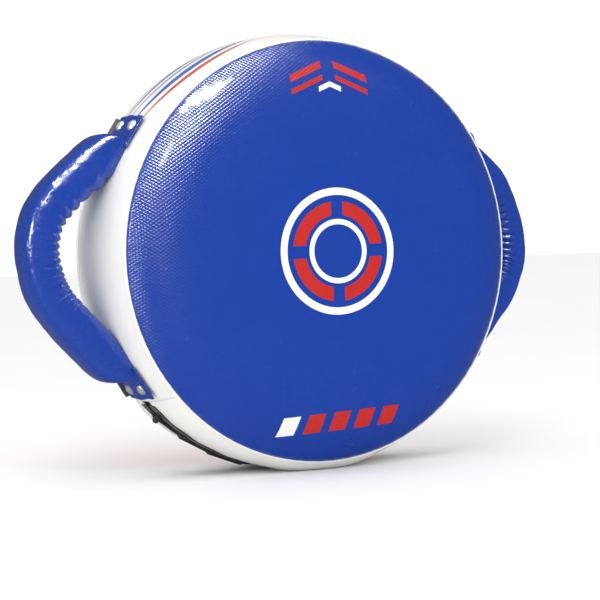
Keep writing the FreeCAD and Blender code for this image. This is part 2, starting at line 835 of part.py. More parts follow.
# the swinging middle of a grip
foam_core = common("swing_core", grip_inside, swing_slab)
right = {}
right["grip_strap"] = common("swing_strap", strap_path, swing_slab)
right["grip_foam"] = cut("swing_foam", foam_core, strap_path)
right["grip_cover"] = cut("swing_cover", common("swing_outside", grip_outside, swing_slab), grip_inside)
right["grip_binding"] = common("swing_binding", binding_path, swing_slab)

# the fixed upper arm of a grip, its tab, and what holds it on the wall
rivet_places = [f"(rivet_middle {sign} rivet_spacing / 2)" for sign in ("-", "+")]
WASHER_FLOOR = "(-patch_thickness - washer_thickness)"
TAIL_FLOOR = "(-patch_thickness - washer_thickness - tail_thickness)"
HEAD_ARC = arc_radius("rivet_head_radius", "rivet_head_height")
shanks, heads, head_rooms, washer_discs, tail_discs = [], [], [], [], []
for count, place in enumerate(rivet_places, start=1):
    head_seat = on_wall(place, TAB_OVER)
    shanks.append(radial_cylinder(f"shank_{count}", place, on_lining(place, TAIL_FLOOR),
                                  f"{head_seat} + rivet_head_height / 2", "rivet_shank_radius"))
    ball = doc.addObject("Part::Sphere", f"head_ball_{count}")
    bind(ball, "Radius", HEAD_ARC)
    heads.append(radial(ball, place, f"({head_seat} + rivet_head_height - {HEAD_ARC})"))
    head_rooms.append(radial_cylinder(f"head_room_{count}", place, f"({head_seat} - {BEYOND})",
                                      f"({head_seat} + {BEYOND})",
                                      "rivet_head_radius + rivet_clearance"))
    through = (on_lining("0", f"-{BEYOND}"), on_lining("0", BEYOND))
    washer_discs.append(radial_cylinder(f"washer_disc_{count}", place, *through, "washer_radius"))
    tail_discs.append(radial_cylinder(f"tail_disc_{count}", place, *through, "tail_radius"))

upper_holes = joined("upper_holes", shanks)
wide = ("tab_front - 2 * patch_margin", "strap_rear + 2 * patch_margin")
under_head = band("under_head", OUTER_CURVE, wide, (f"-{BEYOND}", TAB_OVER), TAB_MIDDLE, TAB_SWEEP)
washer_layer = band("washer_layer", INNER_CURVE, wide, (WASHER_FLOOR, "-patch_thickness"),
                    TAB_MIDDLE, TAB_SWEEP)
tail_layer = band("tail_layer", INNER_CURVE, wide, (TAIL_FLOOR, WASHER_FLOOR),
                  TAB_MIDDLE, TAB_SWEEP)
patch_sweep = f"({TAB_SWEEP} + 2 * patch_margin / {LINING_TOP} * 180 / pi)"
patch_plate = band("patch_plate", INNER_CURVE,
                   ("tab_front - patch_margin", "strap_rear + patch_margin"),
                   ("-patch_thickness", "0"), TAB_MIDDLE, patch_sweep)

upper = {}
head_caps = cut("head_caps", joined("head_balls", heads), under_head)
head_room = cut("head_room", joined("head_rooms", head_rooms), under_head)
tails = common("tails", joined("tail_cylinders", tail_discs), tail_layer)
upper["rivets"] = joined("upper_rivets", [head_caps, upper_holes, tails])
washer_plates = common("washer_plates", joined("washer_cylinders", washer_discs), washer_layer)
upper["washers"] = cut("upper_washers", washer_plates, upper_holes)
upper["patch"] = cut("upper_patch", patch_plate, upper_holes)

# the strap and the tab leave the wall beside the rivets and run straight into the arm
lift_off = f"({STRAP_LINE} * tan(arm_angle - rivet_angle) - rivet_head_radius)"
fixing_room = joined("fixing_room", [upper_holes, head_room])
strap_plate = band("strap_plate", OUTER_CURVE, ("strap_front", "strap_rear"), ("0", TAB_UNDER),
                   TAB_MIDDLE, TAB_SWEEP)
strap_run = side_profile_body("strap_run", on_arm(lift_off, STRAP_HALF), [
    on_arm(lift_off, f"-{STRAP_HALF}"),
    arm_at_height(ARM_FOOT, f"-{STRAP_HALF}"),
    arm_at_height(ARM_FOOT, STRAP_HALF),
], "strap_width")
strap_end = joined("strap_end", [strap_plate, strap_run])
upper["strap_end"] = cut("upper_strap_end", strap_end, fixing_room)

tab_plate = band("tab_plate", OUTER_CURVE, ("tab_front", "tab_rear"), (TAB_UNDER, TAB_OVER),
                 TAB_MIDDLE, TAB_SWEEP)
tab_tuck = "shoulder_end + tab_thickness"
tab_run = side_profile_body("tab_run", on_arm(lift_off, STRAP_HALF), [
    on_arm(tab_tuck, STRAP_HALF),
    on_arm(tab_tuck, f"({STRAP_HALF} + tab_thickness)"),
    on_arm(lift_off, f"({STRAP_HALF} + tab_thickness)"),
], "strap_width")

arm_outside = cut("arm_outside", common("arm_outer", grip_outside, arm_slab), wall_solid)
arm_inside = cut("arm_inside", common("arm_inner", grip_inside, arm_slab), wall_solid_skinned)
arm_shell = cut("arm_shell", arm_outside, arm_inside)
arm_and_tab = joined("arm_and_tab", [arm_shell, tab_plate, tab_run])
not_cover = joined("not_cover", [strap_end, fixing_room])
upper["grip_end"] = cut("upper_grip_end", arm_and_tab, not_cover)
not_foam = joined("not_foam", [strap_end, tab_plate, tab_run, fixing_room])
upper["end_foam"] = cut("upper_end_foam", arm_inside, not_foam)
binding_arm = cut("binding_arm", common("binding_upper", binding_path, arm_slab), wall_solid)
upper["end_binding"] = cut("upper_end_binding", binding_arm, strap_end)
doc.recompute()

LEFTWARD = Vector(1, 0, 0)
DOWNWARD = Vector(0, 0, 1)
for name, thing in right.items():
    node("right_" + name, swung_back("right_" + name, thing, "right_rest_swing"))
    node("left_" + name, mirrored("left_" + name, thing, LEFTWARD))
for name, thing in upper.items():
    lower_thing = mirrored("right_lower_" + name, thing, DOWNWARD)
    node("right_upper_" + name, thing)
    node("right_lower_" + name, lower_thing)
    node("left_upper_" + name, mirrored("left_upper_" + name, thing, LEFTWARD))
    node("left_lower_" + name, mirrored("left_lower_" + name, lower_thing, LEFTWARD))
doc.recompute()

# ---------------------------------------------------------------- build: holes for the fixings

sides = [f"{side}_{level}" for side in ("right", "left") for level in ("upper", "lower")]
rivets = [nodes[f"{place}_rivets"] for place in sides]
buried = [nodes[f"{place}_{part}"] for place in sides for part in ("rivets", "washers", "patch")]
node("side_wall", cut("side_wall", wall_strip, joined("all_rivets", rivets)))
all_buried = joined("all_buried", buried)
for name, block in foam_blocks.items():
    node(name, cut(name, block, all_buried))
doc.recompute()

check_document()
save_parts()
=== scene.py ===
"""Round kick shield with two padded strap grips: the looks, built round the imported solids."""

import json
import math

import bmesh
import bpy
import numpy as np
from mathutils import Matrix, Vector, noise


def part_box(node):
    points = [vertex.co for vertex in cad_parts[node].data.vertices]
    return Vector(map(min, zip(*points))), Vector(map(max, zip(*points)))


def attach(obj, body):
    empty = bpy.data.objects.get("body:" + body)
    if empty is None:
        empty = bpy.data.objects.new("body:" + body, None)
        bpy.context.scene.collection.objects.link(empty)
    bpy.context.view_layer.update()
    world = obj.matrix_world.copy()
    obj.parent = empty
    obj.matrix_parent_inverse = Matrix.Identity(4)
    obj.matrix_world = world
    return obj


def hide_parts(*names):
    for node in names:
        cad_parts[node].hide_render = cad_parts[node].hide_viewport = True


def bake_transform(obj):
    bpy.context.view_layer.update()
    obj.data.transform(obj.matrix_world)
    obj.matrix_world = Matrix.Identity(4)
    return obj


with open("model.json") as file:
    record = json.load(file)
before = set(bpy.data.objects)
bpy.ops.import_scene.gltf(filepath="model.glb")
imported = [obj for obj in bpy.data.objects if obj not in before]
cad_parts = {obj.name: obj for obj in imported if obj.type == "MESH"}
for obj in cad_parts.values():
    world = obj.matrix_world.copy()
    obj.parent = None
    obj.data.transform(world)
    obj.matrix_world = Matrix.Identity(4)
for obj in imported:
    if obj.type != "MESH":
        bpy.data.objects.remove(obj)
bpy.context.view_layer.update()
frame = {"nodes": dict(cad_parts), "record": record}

MM = 0.001


# ------------------------------------------------------------------ sizes, read from the solids

ring_low, ring_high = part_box("front_piping")
PIPING = (ring_high.y - ring_low.y) / 2
SEAM_RADIUS = (ring_high.x - ring_low.x) / 2 - PIPING
SEAM_ACROSS = -(ring_high.y + ring_low.y) / 2
AXIS_HEIGHT = (ring_high.z + ring_low.z) / 2
WALL_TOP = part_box("side_wall")[1].z - AXIS_HEIGHT
FACE_DEPTH = -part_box("front_cover")[0].y
GRIP_OUTSIDE = -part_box("left_grip_cover")[0].x
GRIP_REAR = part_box("left_grip_cover")[1].y
GRIP_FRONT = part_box("left_grip_cover")[0].y
GRIP_SHIFT = (GRIP_REAR + GRIP_FRONT) / 2
BINDING_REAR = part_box("left_grip_binding")[1].y
CENTRE = Vector((0, 0, AXIS_HEIGHT))

WALL_EDGE = SEAM_ACROSS - PIPING
WALL_SWELL = WALL_TOP - SEAM_RADIUS
WALL_ARC = (WALL_EDGE ** 2 + WALL_SWELL ** 2) / (2 * WALL_SWELL)

FACE_DOME = 8 * MM
RIM_BREADTH = 55 * MM
SKIN = 1.6 * MM
WALL_THICKNESS = 5 * MM

CLOSURE_HALF = math.radians(50)
CLOSURE_FADE = math.radians(44)
FACING_HALF = math.radians(48.2)
RISE_START = math.radians(8)
RISE_END = math.radians(20)
RISE = 7.5 * MM
HOLLOW = WALL_TOP - 8.4 * MM
HOLLOW_HALF = 20 * MM
SLIT_HALF = 14 * MM
STRIP_SWELL = 11.2 * MM
FACING_TOP = HOLLOW + 1.2 * MM

ARM_ANGLE = math.radians(41)
BEND_RADIUS = 80 * MM
STRAP_LINE = WALL_TOP + 1.25 * MM
BEND_CENTRE = (STRAP_LINE - BEND_RADIUS) / math.cos(ARM_ANGLE)
GRIP_HALF_WIDTH = (GRIP_REAR - GRIP_FRONT) / 2
OUTER_PAD = GRIP_OUTSIDE - BEND_CENTRE - BEND_RADIUS
INNER_PAD = 19 * MM
ARM_PAD = 2.5 * MM
SHOULDER_START = 82 * MM
SHOULDER_END = 47 * MM
END_HEIGHT = 6 * MM
DROOP = 3 * MM
UPPER_BULGE = 11 * MM
BULGE_START = -15 * MM
BULGE_END = 150 * MM
OFF_WALL = 0.9 * MM

TAB_INNER = math.radians(29)
TAB_OUTER = math.radians(38.4)
TAB_FRONT = -43 * MM
TAB_REAR = 16 * MM
TAB_UNDER = 2.55 * MM
TAB_THICKNESS = 2 * MM
STRAP_INNER = math.radians(26.5)
STRAP_OUTER = math.radians(37.6)
STRAP_FRONT = -32 * MM
STRAP_REAR = 25 * MM
STRAP_LIFT = 2.3 * MM
RIVET_ANGLE = math.radians(35.3)
RIVET_ACROSS = (-28.5 * MM, 2.5 * MM)
RIVET_RADIUS = 6.75 * MM

BEND_LENGTH = BEND_RADIUS * ARM_ANGLE
ARM_LENGTH = math.dist(
    ((BEND_CENTRE + BEND_RADIUS * math.cos(ARM_ANGLE)), BEND_RADIUS * math.sin(ARM_ANGLE)),
    (STRAP_LINE * math.cos(ARM_ANGLE), STRAP_LINE * math.sin(ARM_ANGLE)))
GRIP_REACH = BEND_LENGTH + ARM_LENGTH - SHOULDER_END

SWING_AXIS = 236 * MM
HANG_START = 150 * MM
HANG_END = 40 * MM
HANG_ANGLE = math.radians(22)
CREASE_HEIGHT = -9 * MM
CREASE_SLACK = 9 * MM
ARM_SLACK = 24 * MM


# ------------------------------------------------------------------ small helpers

def smooth(low, high, value):
    """0 below low, 1 above high, and a soft rise between."""
    t = np.clip((np.asarray(value, float) - low) / (high - low), 0, 1)
    return t * t * (3 - 2 * t)


def wander(x, y, scale, seed):
    """Soft noise between about -1 and 1."""
    return noise.noise(Vector((x / scale, y / scale, seed * 7.31)))


def wall_radius(across):
    return WALL_TOP - WALL_ARC + np.sqrt(WALL_ARC ** 2 - np.asarray(across, float) ** 2)


def round_place(angle, radius, across):
    """A place at an angle from the shield's top towards +X, a radius, and a place across."""
    return (radius * math.sin(angle), across, AXIS_HEIGHT + radius * math.cos(angle))


def closure_rise(angle):
    """How far the closure's bed comes up out of its hollow, away from the shield's lowest line."""
    return RISE * smooth(RISE_START, RISE_END, abs(angle))


def hang(side, at):
    """The right grip hangs slack and swung back: moves a place on it, its arms bending to suit."""
    if side < 0:
        return at
    share = 1 - float(smooth(HANG_END, HANG_START, abs(at.z)))
    from_crease = at.z - CREASE_HEIGHT
    if from_crease > 0:
        arm_share = min(from_crease / (75 * MM), 1)
    else:
        arm_share = min((from_crease / (85 * MM)) ** 2, 1)
    slack = CREASE_SLACK + (ARM_SLACK - CREASE_SLACK) * arm_share
    slack *= 1 - float(smooth(118 * MM, HANG_START, abs(at.z)))
    dx, dy = at.x - slack - SWING_AXIS, at.y - GRIP_SHIFT
    turn = HANG_ANGLE * share
    return Vector((SWING_AXIS + dx * math.cos(turn) - dy * math.sin(turn),
                   GRIP_SHIFT + dx * math.sin(turn) + dy * math.cos(turn), at.z))


def sheet_object(name, points, lengths, wrap_rows=False, wrap_columns=False):
    """A mesh of quads over a grid of points, with its lengths along the grid, in metres, as UV.

    Its faces look away from the middle of the shield.
    """
    rows, columns = points.shape[:2]
    corners, uvs = [], []
    for row in range(rows if wrap_rows else rows - 1):
        for column in range(columns if wrap_columns else columns - 1):
            square = [(row, column), (row, column + 1), (row + 1, column + 1), (row + 1, column)]
            corners.append([(r % rows) * columns + c % columns for r, c in square])
            uvs.extend(tuple(lengths[r, c]) for r, c in square)
    mesh = bpy.data.meshes.new(name)
    mesh.from_pydata([tuple(p) for p in points.reshape(-1, 3)], [], corners)
    layer = mesh.uv_layers.new(name="lengths")
    layer.data.foreach_set("uv", np.array(uvs, np.float32).ravel())
    mesh.update()
    outwards = sum(face.area * face.normal.dot(face.center - CENTRE) for face in mesh.polygons)
    if outwards < 0:
        mesh.flip_normals()
    mesh.shade_smooth()
    made = bpy.data.objects.new(name, mesh)
    bpy.context.scene.collection.objects.link(made)
    return made


def merge_doubles(made, distance=0.02 * MM):
    work = bmesh.new()
    work.from_mesh(made.data)
    bmesh.ops.remove_doubles(work, verts=work.verts, dist=distance)
    bmesh.ops.dissolve_degenerate(work, dist=distance, edges=work.edges)
    work.to_mesh(made.data)
    work.free()
    return made


def face_outwards(made, close=False):
    """Turns a closed mesh's faces outwards, after closing its open ends if it has them."""
    work = bmesh.new()
    work.from_mesh(made.data)
    if close:
        bmesh.ops.holes_fill(work, edges=[e for e in work.edges if e.is_boundary])
    bmesh.ops.recalc_face_normals(work, faces=work.faces)
    work.to_mesh(made.data)
    work.free()
    return made


def bake_modifiers(made):
    """Turns an object and its modifiers into a plain mesh."""
    bpy.context.view_layer.update()
    evaluated = made.evaluated_get(bpy.context.evaluated_depsgraph_get())
    mesh = bpy.data.meshes.new_from_object(evaluated)
    made.modifiers.clear()
    made.data = mesh
    return made


def thicken(made, thickness):
    """Gives a skin its thickness, inwards."""
    shell = made.modifiers.new("thickness", "SOLIDIFY")
    shell.thickness = thickness
    shell.offset = -1
    shell.use_even_offset = False
    return bake_modifiers(made)


def paint(made, material):
    made.data.materials.clear()
    made.data.materials.append(material)
    return made


# ------------------------------------------------------------------ shader groups

def new_group(name, inputs, outputs):
    """An empty shader group; its input and output nodes come back with it."""
    group = bpy.data.node_groups.new(name, "ShaderNodeTree")
    for label, kind, value in inputs:
        socket = group.interface.new_socket(name=label, in_out="INPUT", socket_type=kind)
        if value is not None:
            socket.default_value = value
    for label, kind in outputs:
        group.interface.new_socket(name=label, in_out="OUTPUT", socket_type=kind)
    return group, group.nodes.new("NodeGroupInput"), group.nodes.new("NodeGroupOutput")


class Wiring:
    """Short ways to add nodes to one tree."""

    def __init__(self, tree):
        self.tree = tree

    def node(self, kind, inputs=(), **settings):
        made = self.tree.nodes.new(kind)
        for key, value in settings.items():
            setattr(made, key, value)
        for socket, value in dict(inputs).items():
            self.feed(made.inputs[socket], value)
        return made

    def feed(self, socket, value):
        if isinstance(value, bpy.types.NodeSocket):
            self.tree.links.new(value, socket)
        else:
            socket.default_value = value

    def math(self, operation, *values):
        made = self.tree.nodes.new("ShaderNodeMath")
        made.operation = operation
        for index, value in enumerate(values):
            self.feed(made.inputs[index], value)
        return made.outputs[0]

    def within(self, value, middle, half):
        """1 where value is no further than half from middle."""
        return self.math("COMPARE", value, middle, half)

    def mix(self, factor, first, second):
        made = self.node("ShaderNodeMix", data_type="RGBA")
        self.feed(made.inputs[0], factor)
        self.feed(made.inputs[6], first)
        self.feed(made.inputs[7], second)
        return made.outputs[2]

    def noise(self, vector, scale, detail=3.0, roughness=0.5):
        made = self.node("ShaderNodeTexNoise", {"Vector": vector, "Scale": scale,
                                                "Detail": detail, "Roughness": roughness})
        return made.outputs["Fac"]

    def spread(self, value, low, high):
        """A 0 to 1 value spread between low and high."""
        made = self.node("ShaderNodeMapRange", {"Value": value, "To Min": low, "To Max": high})
        return made.outputs["Result"]


def make_lozenge_group():
    """Pillow-shaped lozenges over a face, with a groove between each and the next."""
    group, start, end = new_group(
        "lozenge_emboss",
        [("Vector", "NodeSocketVector", None), ("Width", "NodeSocketFloat", 0.0058),
         ("Height", "NodeSocketFloat", 0.0040)],
        [("Height", "NodeSocketFloat")])
    w = Wiring(group)
    split = w.node("ShaderNodeSeparateXYZ", {"Vector": start.outputs["Vector"]})
    along = w.math("DIVIDE", split.outputs["X"], start.outputs["Width"])
    up = w.math("DIVIDE", split.outputs["Z"], start.outputs["Height"])
    ridges = []
    for operation in ("ADD", "SUBTRACT"):
        phase = w.math("MULTIPLY", w.math(operation, along, up), math.pi)
        ridges.append(w.math("ABSOLUTE", w.math("SINE", phase)))
    pillow = w.math("POWER", w.math("MULTIPLY", *ridges), 0.6)
    w.feed(end.inputs["Height"], pillow)
    return group


def make_grain_group():
    """Fine grain and soft creases of leathercloth."""
    group, start, end = new_group(
        "leathercloth_grain",
        [("Vector", "NodeSocketVector", None), ("Grain", "NodeSocketFloat", 900.0),
         ("Crease", "NodeSocketFloat", 0.5)],
        [("Height", "NodeSocketFloat"), ("Shade", "NodeSocketFloat"),
         ("Gloss", "NodeSocketFloat")])
    w = Wiring(group)
    vector = start.outputs["Vector"]
    pebbles = w.node("ShaderNodeTexVoronoi", {"Vector": vector, "Scale": start.outputs["Grain"]})
    creases = w.noise(vector, 60.0, 4.0, 0.55)
    height = w.math("ADD", w.math("MULTIPLY", pebbles.outputs["Distance"], 0.35),
                    w.math("MULTIPLY", creases, start.outputs["Crease"]))
    w.feed(end.inputs["Height"], height)
    w.feed(end.inputs["Shade"], w.noise(vector, 9.0, 3.0, 0.6))
    w.feed(end.inputs["Gloss"], w.noise(vector, 28.0, 5.0, 0.65))
    return group


def make_weave_group():
    """Plain weave that reads the same on every side of a strap or a cord."""
    group, start, end = new_group(
        "woven_threads",
        [("Vector", "NodeSocketVector", None), ("Pitch", "NodeSocketFloat", 0.0018)],
        [("Height", "NodeSocketFloat"), ("Shade", "NodeSocketFloat")])
    w = Wiring(group)
    split = w.node("ShaderNodeSeparateXYZ", {"Vector": start.outputs["Vector"]})
    waves = []
    for axis in "XYZ":
        turn = w.math("DIVIDE", split.outputs[axis], start.outputs["Pitch"])
        waves.append(w.math("SINE", w.math("MULTIPLY", turn, math.pi * 2)))
    crossings = [w.math("MULTIPLY", waves[a], waves[b]) for a, b in ((0, 1), (1, 2), (2, 0))]
    total = w.math("ADD", w.math("ADD", crossings[0], crossings[1]), crossings[2])
    height = w.math("MULTIPLY_ADD", total, 0.3, 0.5)
    fuzz = w.noise(start.outputs["Vector"], 700.0, 2.0)
    w.feed(end.inputs["Height"], w.math("MULTIPLY_ADD", fuzz, 0.4, height))
    w.feed(end.inputs["Shade"], w.math("MULTIPLY", height, fuzz))
    return group


def make_target_group():
    """Rings, four ring segments, a chevron crest and slanted bars, printed on a face."""
    group, start, end = new_group(
        "target_print",
        [("Vector", "NodeSocketVector", None), ("Cloth", "NodeSocketColor", None),
         ("White", "NodeSocketColor", None), ("Accent", "NodeSocketColor", None)],
        [("Color", "NodeSocketColor"), ("Ink", "NodeSocketFloat")])
    w = Wiring(group)
    split = w.node("ShaderNodeSeparateXYZ", {"Vector": start.outputs["Vector"]})
    x, z = split.outputs["X"], split.outputs["Z"]
    radius = w.math("SQRT", w.math("ADD", w.math("MULTIPLY", x, x), w.math("MULTIPLY", z, z)))
    side = w.math("ABSOLUTE", x)

    outer_ring = w.within(radius, 67.3 * MM, 4.1 * MM)
    inner_ring = w.within(radius, 33.2 * MM, 3.0 * MM)
    nearest_gap = w.math("MINIMUM", side, w.math("ABSOLUTE", z))
    segments = w.math("MULTIPLY", w.within(radius, 48.5 * MM, 7.7 * MM),
                      w.math("GREATER_THAN", nearest_gap, 7.2 * MM))

    lean = w.math("MULTIPLY_ADD", z, -0.35, x)
    bar_row = w.within(w.math("MULTIPLY_ADD", x, -0.04, z), -192 * MM, 10.5 * MM)
    bar_step = w.math("DIVIDE", w.math("SUBTRACT", lean, 67 * MM), 31 * MM)
    bar_place = w.math("FRACT", w.math("ADD", bar_step, 0.5))
    bars = w.math("MULTIPLY", bar_row, w.within(bar_place, 0.5, 0.33))
    bars = w.math("MULTIPLY", bars, w.within(bar_step, 0, 2.5))
    first_bar = w.math("LESS_THAN", bar_step, -1.5)
    white_bar = w.math("MULTIPLY", bars, first_bar)
    accent_bars = w.math("SUBTRACT", bars, white_bar)

    chevron = w.math("MULTIPLY_ADD", side, 0.42, z)
    crest = w.math("MAXIMUM", w.within(chevron, 214 * MM, 4.2 * MM),
                   w.within(chevron, 199 * MM, 3.0 * MM))
    crest = w.math("MULTIPLY", crest, w.within(side, 28 * MM, 20 * MM))
    peak = w.math("MULTIPLY", w.within(chevron, 188 * MM, 3.0 * MM), w.within(side, 0, 14 * MM))

    white = w.math("MAXIMUM", w.math("MAXIMUM", outer_ring, inner_ring),
                   w.math("MAXIMUM", white_bar, peak))
    accent = w.math("MAXIMUM", segments, w.math("MAXIMUM", accent_bars, crest))
    color = w.mix(white, start.outputs["Cloth"], start.outputs["White"])
    w.feed(end.inputs["Color"], w.mix(accent, color, start.outputs["Accent"]))
    w.feed(end.inputs["Ink"], w.math("MAXIMUM", white, accent))
    return group


LOZENGES = make_lozenge_group()
GRAIN = make_grain_group()
WEAVE = make_weave_group()
TARGET = make_target_group()


# ------------------------------------------------------------------ materials

BLUE = (0.001, 0.043, 0.36, 1)
BLUE_DEEP = (0.001, 0.034, 0.29, 1)
RED = (0.62, 0.010, 0.006, 1)
RED_DEEP = (0.46, 0.006, 0.004, 1)
INK_WHITE = (0.90, 0.90, 0.88, 1)
INK_RED = (0.55, 0.012, 0.008, 1)
INK_BLUE = (0.006, 0.045, 0.42, 1)
WHITE = (0.90, 0.89, 0.86, 1)
WHITE_AGED = (0.84, 0.83, 0.79, 1)
BLACK = (0.012, 0.012, 0.013, 1)
BLACK_WORN = (0.035, 0.035, 0.037, 1)


def new_material(name, **settings):
    """A material with one Principled shader; the settings go on its own sockets."""
    material = bpy.data.materials.new(name)
    material.use_nodes = True
    w = Wiring(material.node_tree)
    shader = next(n for n in material.node_tree.nodes if n.type == "BSDF_PRINCIPLED")
    for socket, value in settings.items():
        shader.inputs[socket.replace("_", " ")].default_value = value
    return material, w, shader


def add_bump(w, shader, height, distance, strength=1.0, under=None):
    inputs = {"Height": height, "Distance": distance, "Strength": strength}
    if under is not None:
        inputs["Normal"] = under
    bump = w.node("ShaderNodeBump", inputs)
    w.feed(shader.inputs["Normal"], bump.outputs["Normal"])
    return bump.outputs["Normal"]


def place_group(w, group, inputs):
    made = w.node("ShaderNodeGroup", node_tree=group)
    for socket, value in inputs.items():
        w.feed(made.inputs[socket], value)
    return made


def make_face_material(name, cloth, deep, accent, turned):
    """Glossy leathercloth with the printed target; turned for the face that looks back.

    Its embossing is faint in the middle, where the cover is stretched flat over the foam.
    """
    material, w, shader = new_material(name, Coat_Weight=0.25, Coat_Roughness=0.12)
    coords = w.node("ShaderNodeTexCoord").outputs["Object"]
    centred = w.node("ShaderNodeMapping", {"Vector": coords})
    centred.inputs["Location"].default_value = (0, 0, -AXIS_HEIGHT)
    centred.inputs["Scale"].default_value = (-1 if turned else 1, 1, 1)
    grain = place_group(w, GRAIN, {"Vector": coords, "Grain": 1400.0, "Crease": 0.25})
    lozenges = place_group(w, LOZENGES, {"Vector": coords})
    body = w.mix(w.spread(grain.outputs["Shade"], 0.0, 0.5), cloth, deep)
    art = place_group(w, TARGET, {"Vector": centred.outputs["Vector"], "Cloth": body,
                                  "White": INK_WHITE, "Accent": accent})
    w.feed(shader.inputs["Base Color"], art.outputs["Color"])
    rough = w.spread(grain.outputs["Gloss"], 0.18, 0.32)
    w.feed(shader.inputs["Roughness"], w.math("MULTIPLY_ADD", art.outputs["Ink"], 0.06, rough))
    fine = add_bump(w, shader, grain.outputs["Height"], 0.06 * MM)
    split = w.node("ShaderNodeSeparateXYZ", {"Vector": centred.outputs["Vector"]})
    reach = w.node("ShaderNodeCombineXYZ", {"X": split.outputs["X"], "Y": split.outputs["Z"]})
    radius = w.node("ShaderNodeVectorMath", {0: reach.outputs[0]}, operation="LENGTH").outputs["Value"]
    depth = w.node("ShaderNodeMapRange", {"Value": radius, "From Min": 90 * MM, "From Max": 205 * MM,
                                          "To Min": 0.25, "To Max": 1.0}).outputs["Result"]
    relief = w.math("MULTIPLY", lozenges.outputs["Height"], depth)
    add_bump(w, shader, relief, 0.42 * MM, 1.0, fine)
    return material


def make_wall_material():
    """Smooth white leathercloth, with curved stripes printed high on the left grip's side."""
    material, w, shader = new_material("white_leathercloth", Coat_Weight=0.15, Coat_Roughness=0.25)
    coords = w.node("ShaderNodeTexCoord").outputs["Object"]
    grain = place_group(w, GRAIN, {"Vector": coords, "Grain": 1100.0, "Crease": 0.5})
    cloth = w.mix(w.spread(grain.outputs["Shade"], 0.0, 0.45), WHITE, WHITE_AGED)
    split = w.node("ShaderNodeSeparateXYZ", {"Vector": coords})
    x, y, z = (split.outputs[axis] for axis in "XYZ")
    angle = w.math("ARCTAN2", w.math("MULTIPLY", x, -1), w.math("SUBTRACT", z, AXIS_HEIGHT))
    along = w.math("DIVIDE", w.math("SUBTRACT", angle, math.radians(33)), math.radians(21))
    square = w.math("MULTIPLY", along, along)
    taper = w.math("SUBTRACT", 1, square)
    curve = w.math("MULTIPLY", square, 16 * MM)
    color = cloth
    for offset, half, ink in ((-46, 4.0, (0.60, 0.10, 0.07, 1)), (-30, 6.0, (0.05, 0.16, 0.50, 1)),
                              (-12, 4.0, (0.33, 0.38, 0.50, 1)), (6, 5.0, (0.05, 0.16, 0.50, 1)),
                              (24, 4.0, (0.60, 0.10, 0.07, 1))):
        away = w.math("ABSOLUTE", w.math("SUBTRACT", w.math("SUBTRACT", y, offset * MM), curve))
        stripe = w.math("LESS_THAN", away, w.math("MULTIPLY", taper, half * MM))
        color = w.mix(stripe, color, ink)
    w.feed(shader.inputs["Base Color"], color)
    w.feed(shader.inputs["Roughness"], w.spread(grain.outputs["Gloss"], 0.30, 0.48))
    add_bump(w, shader, grain.outputs["Height"], 0.10 * MM)
    return material


def make_grip_material():
    """Smooth glossy blue leathercloth that creases where it is gathered."""
    material, w, shader = new_material("blue_grip_leathercloth", Coat_Weight=0.45,
                                       Coat_Roughness=0.12)
    coords = w.node("ShaderNodeTexCoord").outputs["Object"]
    grain = place_group(w, GRAIN, {"Vector": coords, "Grain": 1300.0, "Crease": 1.0})
    w.feed(shader.inputs["Base Color"],
           w.mix(w.spread(grain.outputs["Shade"], 0.0, 0.6), BLUE, BLUE_DEEP))
    w.feed(shader.inputs["Roughness"], w.spread(grain.outputs["Gloss"], 0.18, 0.36))
    wrinkles = w.noise(coords, 75.0, 3.0, 0.55)
    fine = add_bump(w, shader, grain.outputs["Height"], 0.14 * MM)
    add_bump(w, shader, wrinkles, 2.2 * MM, 1.0, fine)
    return material


def make_woven_material(name, pitch, dark, light, depth):
    material, w, shader = new_material(name, Sheen_Weight=0.25, Sheen_Roughness=0.5)
    coords = w.node("ShaderNodeTexCoord").outputs["Object"]
    weave = place_group(w, WEAVE, {"Vector": coords, "Pitch": pitch})
    w.feed(shader.inputs["Base Color"], w.mix(weave.outputs["Shade"], dark, light))
    w.feed(shader.inputs["Roughness"], w.spread(weave.outputs["Shade"], 0.85, 0.60))
    add_bump(w, shader, weave.outputs["Height"], depth)
    return material


def make_metal_material(name, color, worn, rough_low, rough_high, metallic):
    material, w, shader = new_material(name)
    coords = w.node("ShaderNodeTexCoord").outputs["Object"]
    grain = place_group(w, GRAIN, {"Vector": coords, "Grain": 500.0, "Crease": 0.3})
    w.feed(shader.inputs["Base Color"], w.mix(grain.outputs["Shade"], color, worn))
    w.feed(shader.inputs["Metallic"], w.spread(grain.outputs["Shade"], metallic, 1.0))
    w.feed(shader.inputs["Roughness"], w.spread(grain.outputs["Gloss"], rough_low, rough_high))
    add_bump(w, shader, grain.outputs["Height"], 0.02 * MM)
    return material


BLUE_FACE = make_face_material("blue_embossed_leathercloth", BLUE, BLUE_DEEP, INK_RED, False)
RED_FACE = make_face_material("red_embossed_leathercloth", RED, RED_DEEP, INK_BLUE, True)
WALL_CLOTH = make_wall_material()
GRIP_CLOTH = make_grip_material()
WEBBING = make_woven_material("black_webbing", 1.9 * MM, BLACK, BLACK_WORN, 0.35 * MM)
CORD = make_woven_material("black_braid", 1.1 * MM, BLACK, BLACK_WORN, 0.25 * MM)
FOAM = make_woven_material("grey_foam", 2.4 * MM, (0.20, 0.20, 0.21, 1), (0.34, 0.34, 0.35, 1), 0.2 * MM)
NICKEL = make_metal_material("nickel", (0.80, 0.78, 0.74, 1), (0.62, 0.60, 0.57, 1), 0.25, 0.42, 0.3)
ENAMEL = make_metal_material("black_enamel", (0.015, 0.015, 0.016, 1), (0.05, 0.05, 0.05, 1),
                             0.22, 0.45, 0.2)
BLUE_THREAD = make_woven_material("blue_thread", 0.5 * MM, BLUE_DEEP, BLUE, 0.1 * MM)
